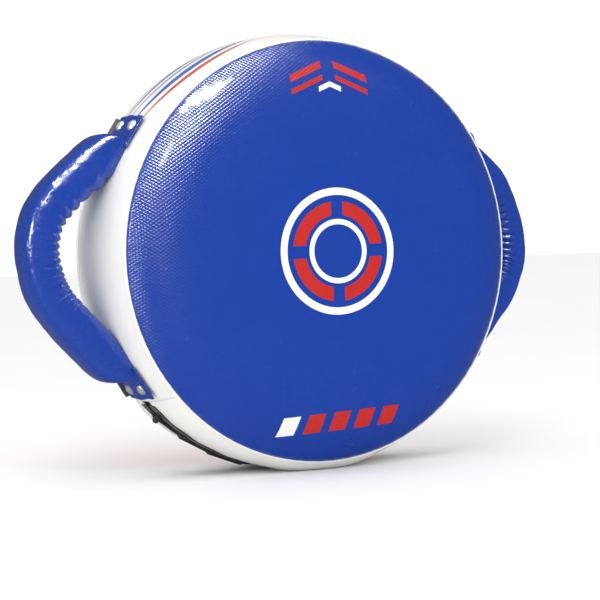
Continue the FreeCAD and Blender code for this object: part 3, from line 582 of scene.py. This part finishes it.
BLACK_THREAD = make_woven_material("black_thread", 0.5 * MM, BLACK_WORN, (0.10, 0.10, 0.10, 1), 0.1 * MM)


# ------------------------------------------------------------------ faces

def face_profile():
    """Places (radius, depth) from the middle of a face to under its piping, evenly spaced."""
    edge = SEAM_RADIUS - RIM_BREADTH
    slope = 2 * math.atan(FACE_DOME / edge)
    run, fall = RIM_BREADTH, FACE_DEPTH - FACE_DOME - SEAM_ACROSS - PIPING
    turn = math.atan(fall / run) - slope
    rounding = math.hypot(run, fall) / (2 * math.sin(turn))
    dome = [(edge * t, FACE_DEPTH - FACE_DOME * t * t) for t in np.linspace(0, 1, 40)]
    middle = (edge - rounding * math.sin(slope),
              FACE_DEPTH - FACE_DOME - rounding * math.cos(slope))
    rim = [(middle[0] + rounding * math.sin(a), middle[1] + rounding * math.cos(a))
           for a in np.linspace(slope, slope + 2 * turn, 17)[1:]]
    tuck = [(SEAM_RADIUS - 0.6 * MM, SEAM_ACROSS + 1.0 * MM), (SEAM_RADIUS - 2.4 * MM, SEAM_ACROSS)]
    return dome + rim + tuck


def make_face(name, side, seed):
    """A domed cover that sags a little between its stitches and lies unevenly on its foam."""
    profile = face_profile()
    spokes = 420
    points = np.zeros((len(profile), spokes, 3))
    lengths = np.zeros((len(profile), spokes + 1, 2))
    for row, (radius, depth) in enumerate(profile):
        near_seam = math.exp(-((SEAM_RADIUS - radius) / (13 * MM)) ** 2)
        tucked = row >= len(profile) - 2
        for spoke in range(spokes):
            angle = math.tau * spoke / spokes
            x, z = radius * math.sin(angle), radius * math.cos(angle)
            pucker = math.sin(95 * angle + 2.2 * wander(x, z, 60 * MM, seed)) * near_seam
            lift = 0.7 * MM * wander(x, z, 85 * MM, seed) + 0.12 * MM * pucker
            lift *= 0 if tucked else 1
            points[row, spoke] = (x * (1 + 0.3 * lift / max(radius, 30 * MM)), side * (depth + lift),
                                  AXIS_HEIGHT + z * (1 + 0.3 * lift / max(radius, 30 * MM)))
        for spoke in range(spokes + 1):
            lengths[row, spoke] = (radius, radius * math.tau * spoke / spokes)
    made = sheet_object(name, points, lengths, wrap_columns=True)
    return thicken(merge_doubles(made), SKIN)


front_face = paint(make_face("front_face", -1, 3), BLUE_FACE)
back_face = paint(make_face("back_face", 1, 5), RED_FACE)


# ------------------------------------------------------------------ side wall and laced strips

def seam_pucker(angle, across, seed):
    """Small gathers beside the rim seams, and an uneven lie between them."""
    near_seam = math.exp(-((WALL_EDGE - abs(across)) / (11 * MM)) ** 2)
    along = WALL_TOP * angle
    gathers = math.sin(angle * 105 + 3 * wander(along, across, 70 * MM, seed)) * near_seam
    return 0.2 * MM * gathers + 0.55 * MM * wander(along, across, 70 * MM, seed + 1)


def tab_dent(angle, across):
    """The wall gives a little under a riveted tab."""
    from_level = abs(abs(angle) - math.pi / 2)
    off_end = (from_level - RIVET_ANGLE) * WALL_TOP
    off_side = across - (TAB_FRONT + TAB_REAR) / 2
    return -0.9 * MM * math.exp(-(off_end / (16 * MM)) ** 2 - (off_side / (34 * MM)) ** 2)


def make_wall():
    steps, ribs = 520, 30
    half = math.pi - CLOSURE_HALF
    points = np.zeros((steps + 1, ribs + 1, 3))
    lengths = np.zeros((steps + 1, ribs + 1, 2))
    for row, angle in enumerate(np.linspace(-half, half, steps + 1)):
        for rib, across in enumerate(np.linspace(-SEAM_ACROSS + 0.4 * MM, SEAM_ACROSS - 0.4 * MM,
                                                 ribs + 1)):
            held = smooth(0, 4 * MM, SEAM_ACROSS - abs(across))
            lift = seam_pucker(angle, across, 11) * held + tab_dent(angle, across)
            points[row, rib] = round_place(angle, float(wall_radius(across)) + lift, across)
            lengths[row, rib] = (WALL_TOP * angle, across)
    return thicken(sheet_object("wall", points, lengths), WALL_THICKNESS * 0.5)


def strip_profile(t, rise):
    """A laced strip's (across, radius) from its seam, t = 0, to its lip, t = 1."""
    share = min(t / 0.88, 1)
    swell = STRIP_SWELL * 4 * share * (1 - share)
    across = SEAM_ACROSS + (HOLLOW_HALF - SEAM_ACROSS) * share + 0.1 * swell
    radius = SEAM_RADIUS + (HOLLOW + rise - SEAM_RADIUS) * share + swell * (1 - 0.55 * rise / RISE)
    if t > 0.88:
        across -= (HOLLOW_HALF - SLIT_HALF) * (t - 0.88) / 0.12
    return across, radius


def make_laced_strip(name, side, seed):
    """Half of the lower wall, drawn in by the lace and pressed flat where it stands."""
    steps, ribs = 260, 26
    points = np.zeros((steps + 1, ribs + 1, 3))
    lengths = np.zeros((steps + 1, ribs + 1, 2))
    for row, angle in enumerate(np.linspace(-CLOSURE_HALF, CLOSURE_HALF, steps + 1)):
        closing = float(smooth(CLOSURE_FADE, CLOSURE_HALF, abs(angle)))
        for rib, t in enumerate(np.linspace(0, 1, ribs + 1)):
            across, radius = strip_profile(t, float(closure_rise(angle)))
            flush = float(wall_radius(across))
            tug = math.exp(-((1 - t) / 0.22) ** 2) * math.sin(angle * WALL_TOP / (6.2 * MM))
            held = float(smooth(0, 0.08, t)) * (1 - closing)
            lift = seam_pucker(angle, across, seed) * held * (1 - t) + 0.5 * MM * tug * held
            radius = radius * (1 - closing) + flush * closing + lift
            radius = min(radius, AXIS_HEIGHT / math.cos(angle))
            points[row, rib] = round_place(math.pi - angle, radius, side * across)
            lengths[row, rib] = (WALL_TOP * angle, side * across)
    return thicken(sheet_object(name, points, lengths), WALL_THICKNESS * 0.5)


wall = paint(make_wall(), WALL_CLOTH)
front_strip = paint(make_laced_strip("front_strip", -1, 21), WALL_CLOTH)
back_strip = paint(make_laced_strip("back_strip", 1, 22), WALL_CLOTH)


# ------------------------------------------------------------------ grips

def grip_line(s):
    """Middle line of the right grip at a length s from its middle, upwards.

    Returns the place, with its height over the axis, and the way out from the shield.
    """
    up, reach = (1 if s >= 0 else -1), abs(s)
    turn = min(reach, BEND_LENGTH) / BEND_RADIUS
    straight = max(reach - BEND_LENGTH, 0)
    x = BEND_CENTRE + BEND_RADIUS * math.cos(turn) - straight * math.sin(ARM_ANGLE)
    z = BEND_RADIUS * math.sin(turn) + straight * math.cos(ARM_ANGLE)
    sag = DROOP * 0.5 * (1 + math.cos(math.pi * min(reach / BULGE_END, 1)))
    share = (s - BULGE_START) / (BULGE_END - BULGE_START)
    bulge = UPPER_BULGE * math.sin(math.pi * share ** 0.9) ** 2 if 0 < share < 1 else 0.0
    out = Vector((math.cos(turn), 0, up * math.sin(turn)))
    return Vector((x, 0, up * z - sag)) + out * bulge, out


def along_arm(s):
    """Distance left along an arm to where its strap touches the wall."""
    return BEND_LENGTH + ARM_LENGTH - abs(s)


def pad_heights(s):
    """How far the grip reaches outwards and inwards from its strap."""
    arm = float(smooth(30 * MM, 90 * MM, abs(s)))
    out = OUTER_PAD + ARM_PAD * arm
    inn = INNER_PAD + ARM_PAD * arm
    left = along_arm(s)
    if left < SHOULDER_START:
        t = min((SHOULDER_START - left) / (SHOULDER_START - SHOULDER_END), 1)
        out = END_HEIGHT + (out - END_HEIGHT) * math.sqrt(max(1 - t ** 2.2, 0))
    return out, inn


def gather_phase(samples):
    """Turns through the gathers: close folds round the bend, wide ones along the arms."""
    pitch = [10 * MM + 13 * MM * float(smooth(55 * MM, 110 * MM, abs(s)))
             - 2.5 * MM * float(smooth(30 * MM, 5 * MM, abs(s + 24 * MM)))
             + 3.5 * MM * wander(s, 0, 21 * MM, 9) for s in samples]
    steps = np.diff(samples, prepend=samples[0])
    return np.cumsum(steps / np.array(pitch))


def keep_off_wall(place, gap):
    """Pushes a place outwards to lie on the side wall."""
    x, z = place.x, place.z
    radius = math.hypot(x, z)
    least = float(wall_radius(max(min(place.y, WALL_EDGE), -WALL_EDGE))) + gap
    if radius < least:
        place.x, place.z = x * least / radius, z * least / radius
    return place


def make_grip_tube(name, side, seed):
    """One whole grip: a round-cornered padded tube, gathered on the finger side."""
    samples = np.linspace(-GRIP_REACH, GRIP_REACH, 330)
    phase = gather_phase(samples)
    ring = 96
    points = np.zeros((len(samples) + 2, ring, 3))
    lengths = np.zeros((len(samples) + 2, ring + 1, 2))
    corner = 0.60
    for row, s in enumerate(samples):
        place, out = grip_line(s)
        high, low = pad_heights(s)
        middle_share = 1 - float(smooth(45 * MM, 95 * MM, abs(s - 4 * MM)))
        upper_share = float(smooth(30 * MM, 80 * MM, s)) * (1 - float(smooth(125 * MM, 150 * MM, s)))
        depth = (4.2 * middle_share + 3.0 * upper_share + 0.5) * MM
        depth *= 1 + 0.45 * wander(s, 0, 17 * MM, seed + 2)
        fold = abs(math.sin(math.pi * phase[row]))
        round_length = 0.0
        before = None
        for spoke in range(ring + 1):
            angle = math.tau * spoke / ring
            c, t = math.cos(angle), math.sin(angle)
            broad = math.copysign(abs(c) ** corner, c)
            deep = math.copysign(abs(t) ** corner, t)
            height = (high if t > 0 else low) * deep
            inward = float(smooth(-0.55 + 0.35 * wander(s, 0, 15 * MM, seed + 3), 0.9, -t))
            slant = fold if abs(c) < 0.5 else abs(math.sin(math.pi * (phase[row] + 0.35 * c * c)))
            lump = 1.1 * MM * wander(s, angle * 22 * MM, 38 * MM, seed)
            lump += 0.5 * MM * wander(s, angle * 22 * MM, 13 * MM, seed + 1)
            gather = depth * (slant ** 0.6 - 0.75) * inward
            swell = lump + gather
            y = GRIP_SHIFT + (GRIP_HALF_WIDTH - 1.0 * MM) * broad + swell * 0.7 * c
            at = place + out * (height + swell * t)
            at.y = y
            at = keep_off_wall(hang(side, at), OFF_WALL)
            if spoke < ring:
                points[row + 1, spoke] = (side * at.x, at.y, AXIS_HEIGHT + at.z)
            if before is not None:
                round_length += (at - before).length
            before = at.copy()
            lengths[row + 1, spoke] = (s, round_length)
    for end, inside in ((0, 1), (-1, -2)):
        points[end] = points[inside].mean(axis=0)
        lengths[end] = lengths[inside]
    made = merge_doubles(sheet_object(name, points, lengths, wrap_columns=True))
    return face_outwards(made)


def split_at_middle(made, names):
    """Two objects from one: the faces above and the faces below the grip's middle."""
    level = AXIS_HEIGHT
    halves = []
    for name, keep_upper in zip(names, (True, False)):
        mesh = made.data.copy()
        work = bmesh.new()
        work.from_mesh(mesh)
        unwanted = [face for face in work.faces
                    if (face.calc_center_median().z >= level) != keep_upper]
        bmesh.ops.delete(work, geom=unwanted, context="FACES")
        work.to_mesh(mesh)
        work.free()
        half = bpy.data.objects.new(name, mesh)
        bpy.context.scene.collection.objects.link(half)
        halves.append(half)
    bpy.data.objects.remove(made)
    return halves


def make_binding(name, side, upper):
    """Folded tape along the rear side of a grip, from its middle to its tab."""
    reach = GRIP_REACH - 4 * MM
    samples = np.linspace(0, reach if upper else -reach, 130)
    width, thick = 5.5 * MM, BINDING_REAR - GRIP_REAR + 1.2 * MM
    outline = [(math.cos(a), math.sin(a)) for a in np.linspace(0, math.tau, 20, endpoint=False)]
    points = np.zeros((len(samples), len(outline), 3))
    lengths = np.zeros((len(samples), len(outline) + 1, 2))
    for row, s in enumerate(samples):
        place, out = grip_line(s)
        wobble = 0.5 * MM * wander(s, 0, 20 * MM, 31)
        closing = 0.15 if row in (0, len(samples) - 1) and row else 1.0
        for index, (c, t) in enumerate(outline):
            height = closing * width * math.copysign(abs(c) ** 0.5, c) + wobble
            back = closing * (thick / 2) * math.copysign(abs(t) ** 0.5, t)
            at = place + out * height
            at.y = BINDING_REAR - thick / 2 + back
            at = keep_off_wall(hang(side, at), OFF_WALL)
            points[row, index] = (side * at.x, at.y, AXIS_HEIGHT + at.z)
        for index in range(len(outline) + 1):
            lengths[row, index] = (s, index * 1.5 * MM)
    return face_outwards(sheet_object(name, points, lengths, wrap_columns=True), close=True)


def tab_place(side, upper, level, across, lift):
    """A place over the wall, at an angle above (or below) the grip's middle."""
    angle = side * (math.pi / 2 - upper * level)
    return round_place(angle, float(wall_radius(across)) + lift, across)


def make_tab(name, side, upper, seed):
    """Riveted tab: a thin doubled piece of leathercloth, wavy at its free end."""
    rows, columns = 44, 56
    points = np.zeros((rows + 1, columns + 1, 3))
    lengths = np.zeros((rows + 1, columns + 1, 2))
    for row, r in enumerate(np.linspace(0, 1, rows + 1)):
        for column, c in enumerate(np.linspace(0, 1, columns + 1)):
            across = TAB_FRONT + (TAB_REAR - TAB_FRONT) * c
            frayed = 0.8 * MM * math.sin(across / (6.5 * MM) + seed) * r ** 6
            level = TAB_INNER + (TAB_OUTER - TAB_INNER) * r - abs(frayed) / WALL_TOP
            lift = TAB_UNDER + TAB_THICKNESS
            for rivet in RIVET_ACROSS:
                away = math.hypot(across - rivet, (level - RIVET_ANGLE) * WALL_TOP)
                pressed = math.exp(-(away / (RIVET_RADIUS * 1.5)) ** 2)
                lift -= 0.5 * MM * pressed
            free = 1 - math.exp(-(min((across - RIVET_ACROSS[0]) ** 2, (across - RIVET_ACROSS[1]) ** 2)
                                  / (11 * MM) ** 2))
            lift += 1.0 * MM * free * r ** 2
            lift += 0.35 * MM * wander(across, level * WALL_TOP, 9 * MM, seed)
            points[row, column] = tab_place(side, upper, level, across, lift)
            lengths[row, column] = (across, level * WALL_TOP)
    made = thicken(sheet_object(name, points, lengths), TAB_THICKNESS)
    soft = made.modifiers.new("soft_edges", "BEVEL")
    soft.width = 0.6 * MM
    soft.segments = 2
    soft.limit_method = "ANGLE"
    soft.angle_limit = math.radians(50)
    return bake_modifiers(made)


def make_strap_end(name, side, upper, seed):
    """The end of the webbing strap under a tab, lifting and curling past the tab's rear side."""
    rows, columns = 30, 60
    points = np.zeros((rows + 1, columns + 1, 3))
    lengths = np.zeros((rows + 1, columns + 1, 2))
    for row, r in enumerate(np.linspace(0, 1, rows + 1)):
        for column, c in enumerate(np.linspace(0, 1, columns + 1)):
            across = STRAP_FRONT + (STRAP_REAR - STRAP_FRONT) * c
            level = STRAP_INNER + (STRAP_OUTER - STRAP_INNER) * r
            curl = float(smooth(TAB_REAR - 2 * MM, STRAP_REAR, across))
            lift = STRAP_LIFT + curl * (3.5 * MM + 2.5 * MM * r)
            lift += 0.5 * MM * curl * wander(across, level * WALL_TOP, 12 * MM, seed)
            points[row, column] = tab_place(side, upper, level, across, lift)
            lengths[row, column] = (across, level * WALL_TOP)
    return thicken(sheet_object(name, points, lengths), 1.7 * MM)


# ------------------------------------------------------------------ stitches

def make_stitch_tree():
    """Rows of thread: one short capsule for each stitch along a path."""
    tree = bpy.data.node_groups.new("stitch_rows", "GeometryNodeTree")
    face = tree.interface
    face.new_socket(name="Path", in_out="INPUT", socket_type="NodeSocketGeometry")
    for label, value in (("Spacing", 4.2 * MM), ("Stitch Length", 3.0 * MM),
                         ("Thread Radius", 0.42 * MM)):
        socket = face.new_socket(name=label, in_out="INPUT", socket_type="NodeSocketFloat")
        socket.default_value = value
    face.new_socket(name="Thread", in_out="INPUT", socket_type="NodeSocketMaterial")
    face.new_socket(name="Stitches", in_out="OUTPUT", socket_type="NodeSocketGeometry")
    start, end = tree.nodes.new("NodeGroupInput"), tree.nodes.new("NodeGroupOutput")
    w = Wiring(tree)
    line = w.node("GeometryNodeMeshToCurve", {"Mesh": start.outputs["Path"]})
    even = w.node("GeometryNodeResampleCurve", {"Curve": line.outputs[0]}, mode="LENGTH")
    w.feed(even.inputs["Length"], start.outputs["Spacing"])
    ball = w.node("GeometryNodeMeshUVSphere", {"Segments": 8, "Rings": 6, "Radius": 1.0})
    size = w.node("ShaderNodeCombineXYZ", {"X": start.outputs["Thread Radius"],
                                           "Y": start.outputs["Thread Radius"]})
    half = w.math("MULTIPLY", start.outputs["Stitch Length"], 0.5)
    w.feed(size.inputs["Z"], half)
    tangent = w.node("GeometryNodeInputTangent")
    turn = w.node("FunctionNodeAlignRotationToVector", {"Vector": tangent.outputs[0]}, axis="Z")
    rows = w.node("GeometryNodeInstanceOnPoints", {"Points": even.outputs[0],
                                                   "Instance": ball.outputs["Mesh"],
                                                   "Rotation": turn.outputs[0],
                                                   "Scale": size.outputs[0]})
    real = w.node("GeometryNodeRealizeInstances", {"Geometry": rows.outputs[0]})
    soft = w.node("GeometryNodeSetShadeSmooth", {"Geometry": real.outputs[0]})
    done = w.node("GeometryNodeSetMaterial", {"Geometry": soft.outputs[0],
                                              "Material": start.outputs["Thread"]})
    w.feed(end.inputs[0], done.outputs[0])
    return tree


STITCHES = make_stitch_tree()


def make_stitches(name, paths, thread, spacing=4.2 * MM, length=3.0 * MM, radius=0.42 * MM):
    """Thread along one or more open paths."""
    places, edges = [], []
    for path in paths:
        first = len(places)
        places.extend(tuple(p) for p in path)
        edges.extend((first + i, first + i + 1) for i in range(len(path) - 1))
    mesh = bpy.data.meshes.new(name)
    mesh.from_pydata(places, edges, [])
    made = bpy.data.objects.new(name, mesh)
    bpy.context.scene.collection.objects.link(made)
    sewing = made.modifiers.new("sewing", "NODES")
    sewing.node_group = STITCHES
    values = {"Spacing": spacing, "Stitch Length": length, "Thread Radius": radius, "Thread": thread}
    for item in STITCHES.interface.items_tree:
        if item.in_out == "INPUT" and item.name in values:
            sewing[item.identifier] = values[item.name]
    return bake_modifiers(made)


# ------------------------------------------------------------------ put the grips together

moving = {}
for side, word in ((1, "right"), (-1, "left")):
    tube = make_grip_tube(word + "_tube", side, 41 if side > 0 else 47)
    upper_half, lower_half = split_at_middle(tube, (word + "_grip_upper", word + "_grip_lower"))
    for half, upper, level in ((upper_half, 1, "upper"), (lower_half, -1, "lower")):
        paint(half, GRIP_CLOTH)
        tab = paint(make_tab(f"{word}_{level}_tab", side, upper, 51 + upper + 3 * side), GRIP_CLOTH)
        strap = paint(make_strap_end(f"{word}_{level}_strap", side, upper, 61 + upper), WEBBING)
        tape = paint(make_binding(f"{word}_{level}_tape", side, upper > 0), WEBBING)
        lift = TAB_UNDER + TAB_THICKNESS + 0.55 * MM
        inset = 3.2 * MM
        levels = np.linspace(TAB_INNER + math.radians(2.2), TAB_OUTER - inset / WALL_TOP, 16)
        acrosses = np.linspace(TAB_FRONT + inset, TAB_REAR - inset, 30)
        border = [tab_place(side, upper, a, TAB_FRONT + inset, lift) for a in levels]
        border += [tab_place(side, upper, levels[-1], u, lift + 0.35 * MM) for u in acrosses[1:-1]]
        border += [tab_place(side, upper, a, TAB_REAR - inset, lift) for a in levels[::-1]]
        thread = make_stitches(f"{word}_{level}_tab_stitches", [border], BLUE_THREAD, 3.4 * MM, 2.4 * MM,
                               0.36 * MM)
        rows = []
        for shift in (-3.4 * MM, 3.4 * MM):
            row = []
            for s in np.linspace(1 * MM, GRIP_REACH - 14 * MM, 60) * upper:
                place, out = grip_line(s)
                at = place + out * (shift + 0.5 * MM * wander(s, 0, 20 * MM, 31))
                at.y = BINDING_REAR + 0.1 * MM
                at = hang(side, at)
                row.append((side * at.x, at.y, AXIS_HEIGHT + at.z))
            rows.append(row)
        sewn = make_stitches(f"{word}_{level}_tape_stitches", rows, BLACK_THREAD, 3.8 * MM, 2.7 * MM,
                             0.34 * MM)
        moving[word, level] = (half, tape, sewn)
        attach(tab, "shield")
        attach(thread, "shield")
        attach(strap, "shield")
        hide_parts(f"{word}_{level}_grip_end")
        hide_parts(f"{word}_{level}_strap_end")
        for piece in (half, tape, sewn):
            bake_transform(piece)
        if upper > 0:
            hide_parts(f"{word}_grip_cover", f"{word}_grip_foam", f"{word}_grip_strap",
                        f"{word}_upper_end_foam")
            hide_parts(f"{word}_grip_binding", f"{word}_upper_end_binding")
        else:
            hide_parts(f"{word}_lower_end_foam")
            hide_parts(f"{word}_lower_end_binding")


# ------------------------------------------------------------------ sewing on the closure

def closure_row(across):
    """A row of places along a facing, on its bed."""
    row = []
    for angle in np.linspace(-FACING_HALF, FACING_HALF, 160):
        radius = FACING_TOP + 0.15 * MM + float(closure_rise(angle))
        row.append(round_place(math.pi - angle, radius, across))
    return row


def risen_copy(node, name):
    """A piece of the closure, on its bed where that comes up out of the hollow."""
    mesh = frame["nodes"][node].data.copy()
    work = bmesh.new()
    work.from_mesh(mesh)
    bmesh.ops.remove_doubles(work, verts=work.verts, dist=0.001 * MM)
    for _ in range(3):
        long_edges = [edge for edge in work.edges if edge.calc_length() > 9 * MM]
        bmesh.ops.subdivide_edges(work, edges=long_edges, cuts=1)
    for vert in work.verts:
        x, z = vert.co.x, vert.co.z - AXIS_HEIGHT
        radius = math.hypot(x, z)
        share = 1 + float(closure_rise(math.atan2(x, -z))) / radius
        vert.co.x, vert.co.z = x * share, AXIS_HEIGHT + z * share
    work.to_mesh(mesh)
    work.free()
    made = bpy.data.objects.new(name, mesh)
    bpy.context.scene.collection.objects.link(made)
    return made


facing_rows = [closure_row(side * across) for side in (-1, 1)
               for across in (5.2 * MM, 17.4 * MM)]
facing_stitches = make_stitches("facing_stitches", facing_rows, BLACK_THREAD, 4.0 * MM, 2.8 * MM,
                                0.36 * MM)
closure = []
for node, slot, material in (
    ("front_eyelet_facing", "black_webbing", WEBBING), ("back_eyelet_facing", "black_webbing", WEBBING),
    ("closure_tongue", "black_webbing", WEBBING), ("front_eyelets", "black_metal", ENAMEL),
    ("back_eyelets", "black_metal", ENAMEL), ("lace", "black_cord", CORD),
    ("lace_knots", "black_cord", CORD),
):
    closure.append((paint(risen_copy(node, node + "_look"), material), slot, (node,)))

# ------------------------------------------------------------------ carried-over solids

SLOT_MATERIALS = {
    "black_webbing": WEBBING,
    "black_cord": CORD,
    "nickel": NICKEL,
    "black_metal": ENAMEL,
    "foam_filling": FOAM,
    "white_wall": WALL_CLOTH,
    "blue_cover": BLUE_FACE,
    "red_cover": RED_FACE,
    "blue_grip": GRIP_CLOTH,
}
for entry in frame["record"]["subparts"]:
    solid = frame["nodes"][entry["node"]]
    paint(solid, SLOT_MATERIALS[entry["material_slot"]])

for piece, slot, nodes in (
    (front_face, "blue_cover", ("front_cover", "front_foam")),
    (back_face, "red_cover", ("back_cover", "back_foam")),
    (wall, "white_wall", ("side_wall", "core_foam")),
    (front_strip, "white_wall", ("front_laced_strip",)),
    (back_strip, "white_wall", ("back_laced_strip",)),
    (facing_stitches, "black_webbing", ()),
    *closure,
):
    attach(piece, "shield")
    if nodes:
        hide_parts(*nodes)


# ------------------------------------------------------------------ floor, lights and camera

def make_floor():
    size = 14.0
    mesh = bpy.data.meshes.new("floor")
    mesh.from_pydata([(-size, -size, 0), (size, -size, 0), (size, size, 0), (-size, size, 0)], [],
                     [(0, 1, 2, 3)])
    made = bpy.data.objects.new("floor", mesh)
    bpy.context.scene.collection.objects.link(made)
    material, w, shader = new_material("pale_floor", Roughness=0.7)
    coords = w.node("ShaderNodeTexCoord").outputs["Object"]
    tone = w.spread(w.noise(coords, 1.5), 0.90, 0.94)
    # Seen in reflections the floor is darkened to 0.12 of its tone: painted darker reflections of the
    # floor in the glossy surfaces.
    mirrored = w.node("ShaderNodeLightPath").outputs["Is Glossy Ray"]
    tone = w.math("MULTIPLY", tone, w.spread(mirrored, 1.0, 0.12))
    shade = w.node("ShaderNodeCombineColor", {"Red": tone, "Green": tone, "Blue": tone})
    w.feed(shader.inputs["Base Color"], shade.outputs[0])
    paint(made, material)


def add_softbox(name, place, aim, width, height, power, only_shine=False):
    lamp = bpy.data.lights.new(name, "AREA")
    lamp.shape = "RECTANGLE"
    lamp.size, lamp.size_y = width, height
    lamp.energy = power
    made = bpy.data.objects.new(name, lamp)
    bpy.context.scene.collection.objects.link(made)
    made.location = place
    made.visible_diffuse = not only_shine
    made.rotation_euler = (Vector(aim) - Vector(place)).to_track_quat("-Z", "Y").to_euler()


def make_world():
    world = bpy.data.worlds.new("studio")
    world.use_nodes = True
    backdrop = world.node_tree.nodes["Background"]
    backdrop.inputs["Color"].default_value = (1.0, 1.0, 1.0, 1)
    w = Wiring(world.node_tree)
    mirrored = w.node("ShaderNodeLightPath").outputs["Is Glossy Ray"]
    w.feed(backdrop.inputs["Strength"], w.spread(mirrored, 1.16, 0.10))
    bpy.context.scene.world = world


def make_camera():
    lens = bpy.data.cameras.new("view")
    lens.lens = 110.9
    lens.sensor_width = 36
    lens.clip_start, lens.clip_end = 0.05, 60
    made = bpy.data.objects.new("view", lens)
    bpy.context.scene.collection.objects.link(made)
    across = Vector((0.8957, -0.4434, -0.0331)).normalized()
    back = Vector((-0.4423, -0.8962, 0.0344))
    back = (back - across * back.dot(across)).normalized()
    upward = back.cross(across)
    turn = Matrix((across, upward, back)).transposed().to_4x4()
    made.matrix_world = Matrix.Translation((-0.9595, -1.9583, AXIS_HEIGHT + 0.018)) @ turn
    bpy.context.scene.camera = made


bpy.context.scene.view_settings.view_transform = "Standard"
make_floor()
make_world()
middle = (0, 0, AXIS_HEIGHT)
add_softbox("key", (-0.9, -1.6, 1.9), middle, 0.9, 0.6, 12)
add_softbox("overhead_shine", (-0.62, -0.62, 1.95), middle, 0.75, 0.35, 120, only_shine=True)
add_softbox("left_shine", (-1.8, -0.25, 0.62), middle, 0.16, 0.55, 22, only_shine=True)
add_softbox("window_shine", (-1.3, -1.2, 1.5), middle, 0.25, 0.25, 10, only_shine=True)
make_camera()
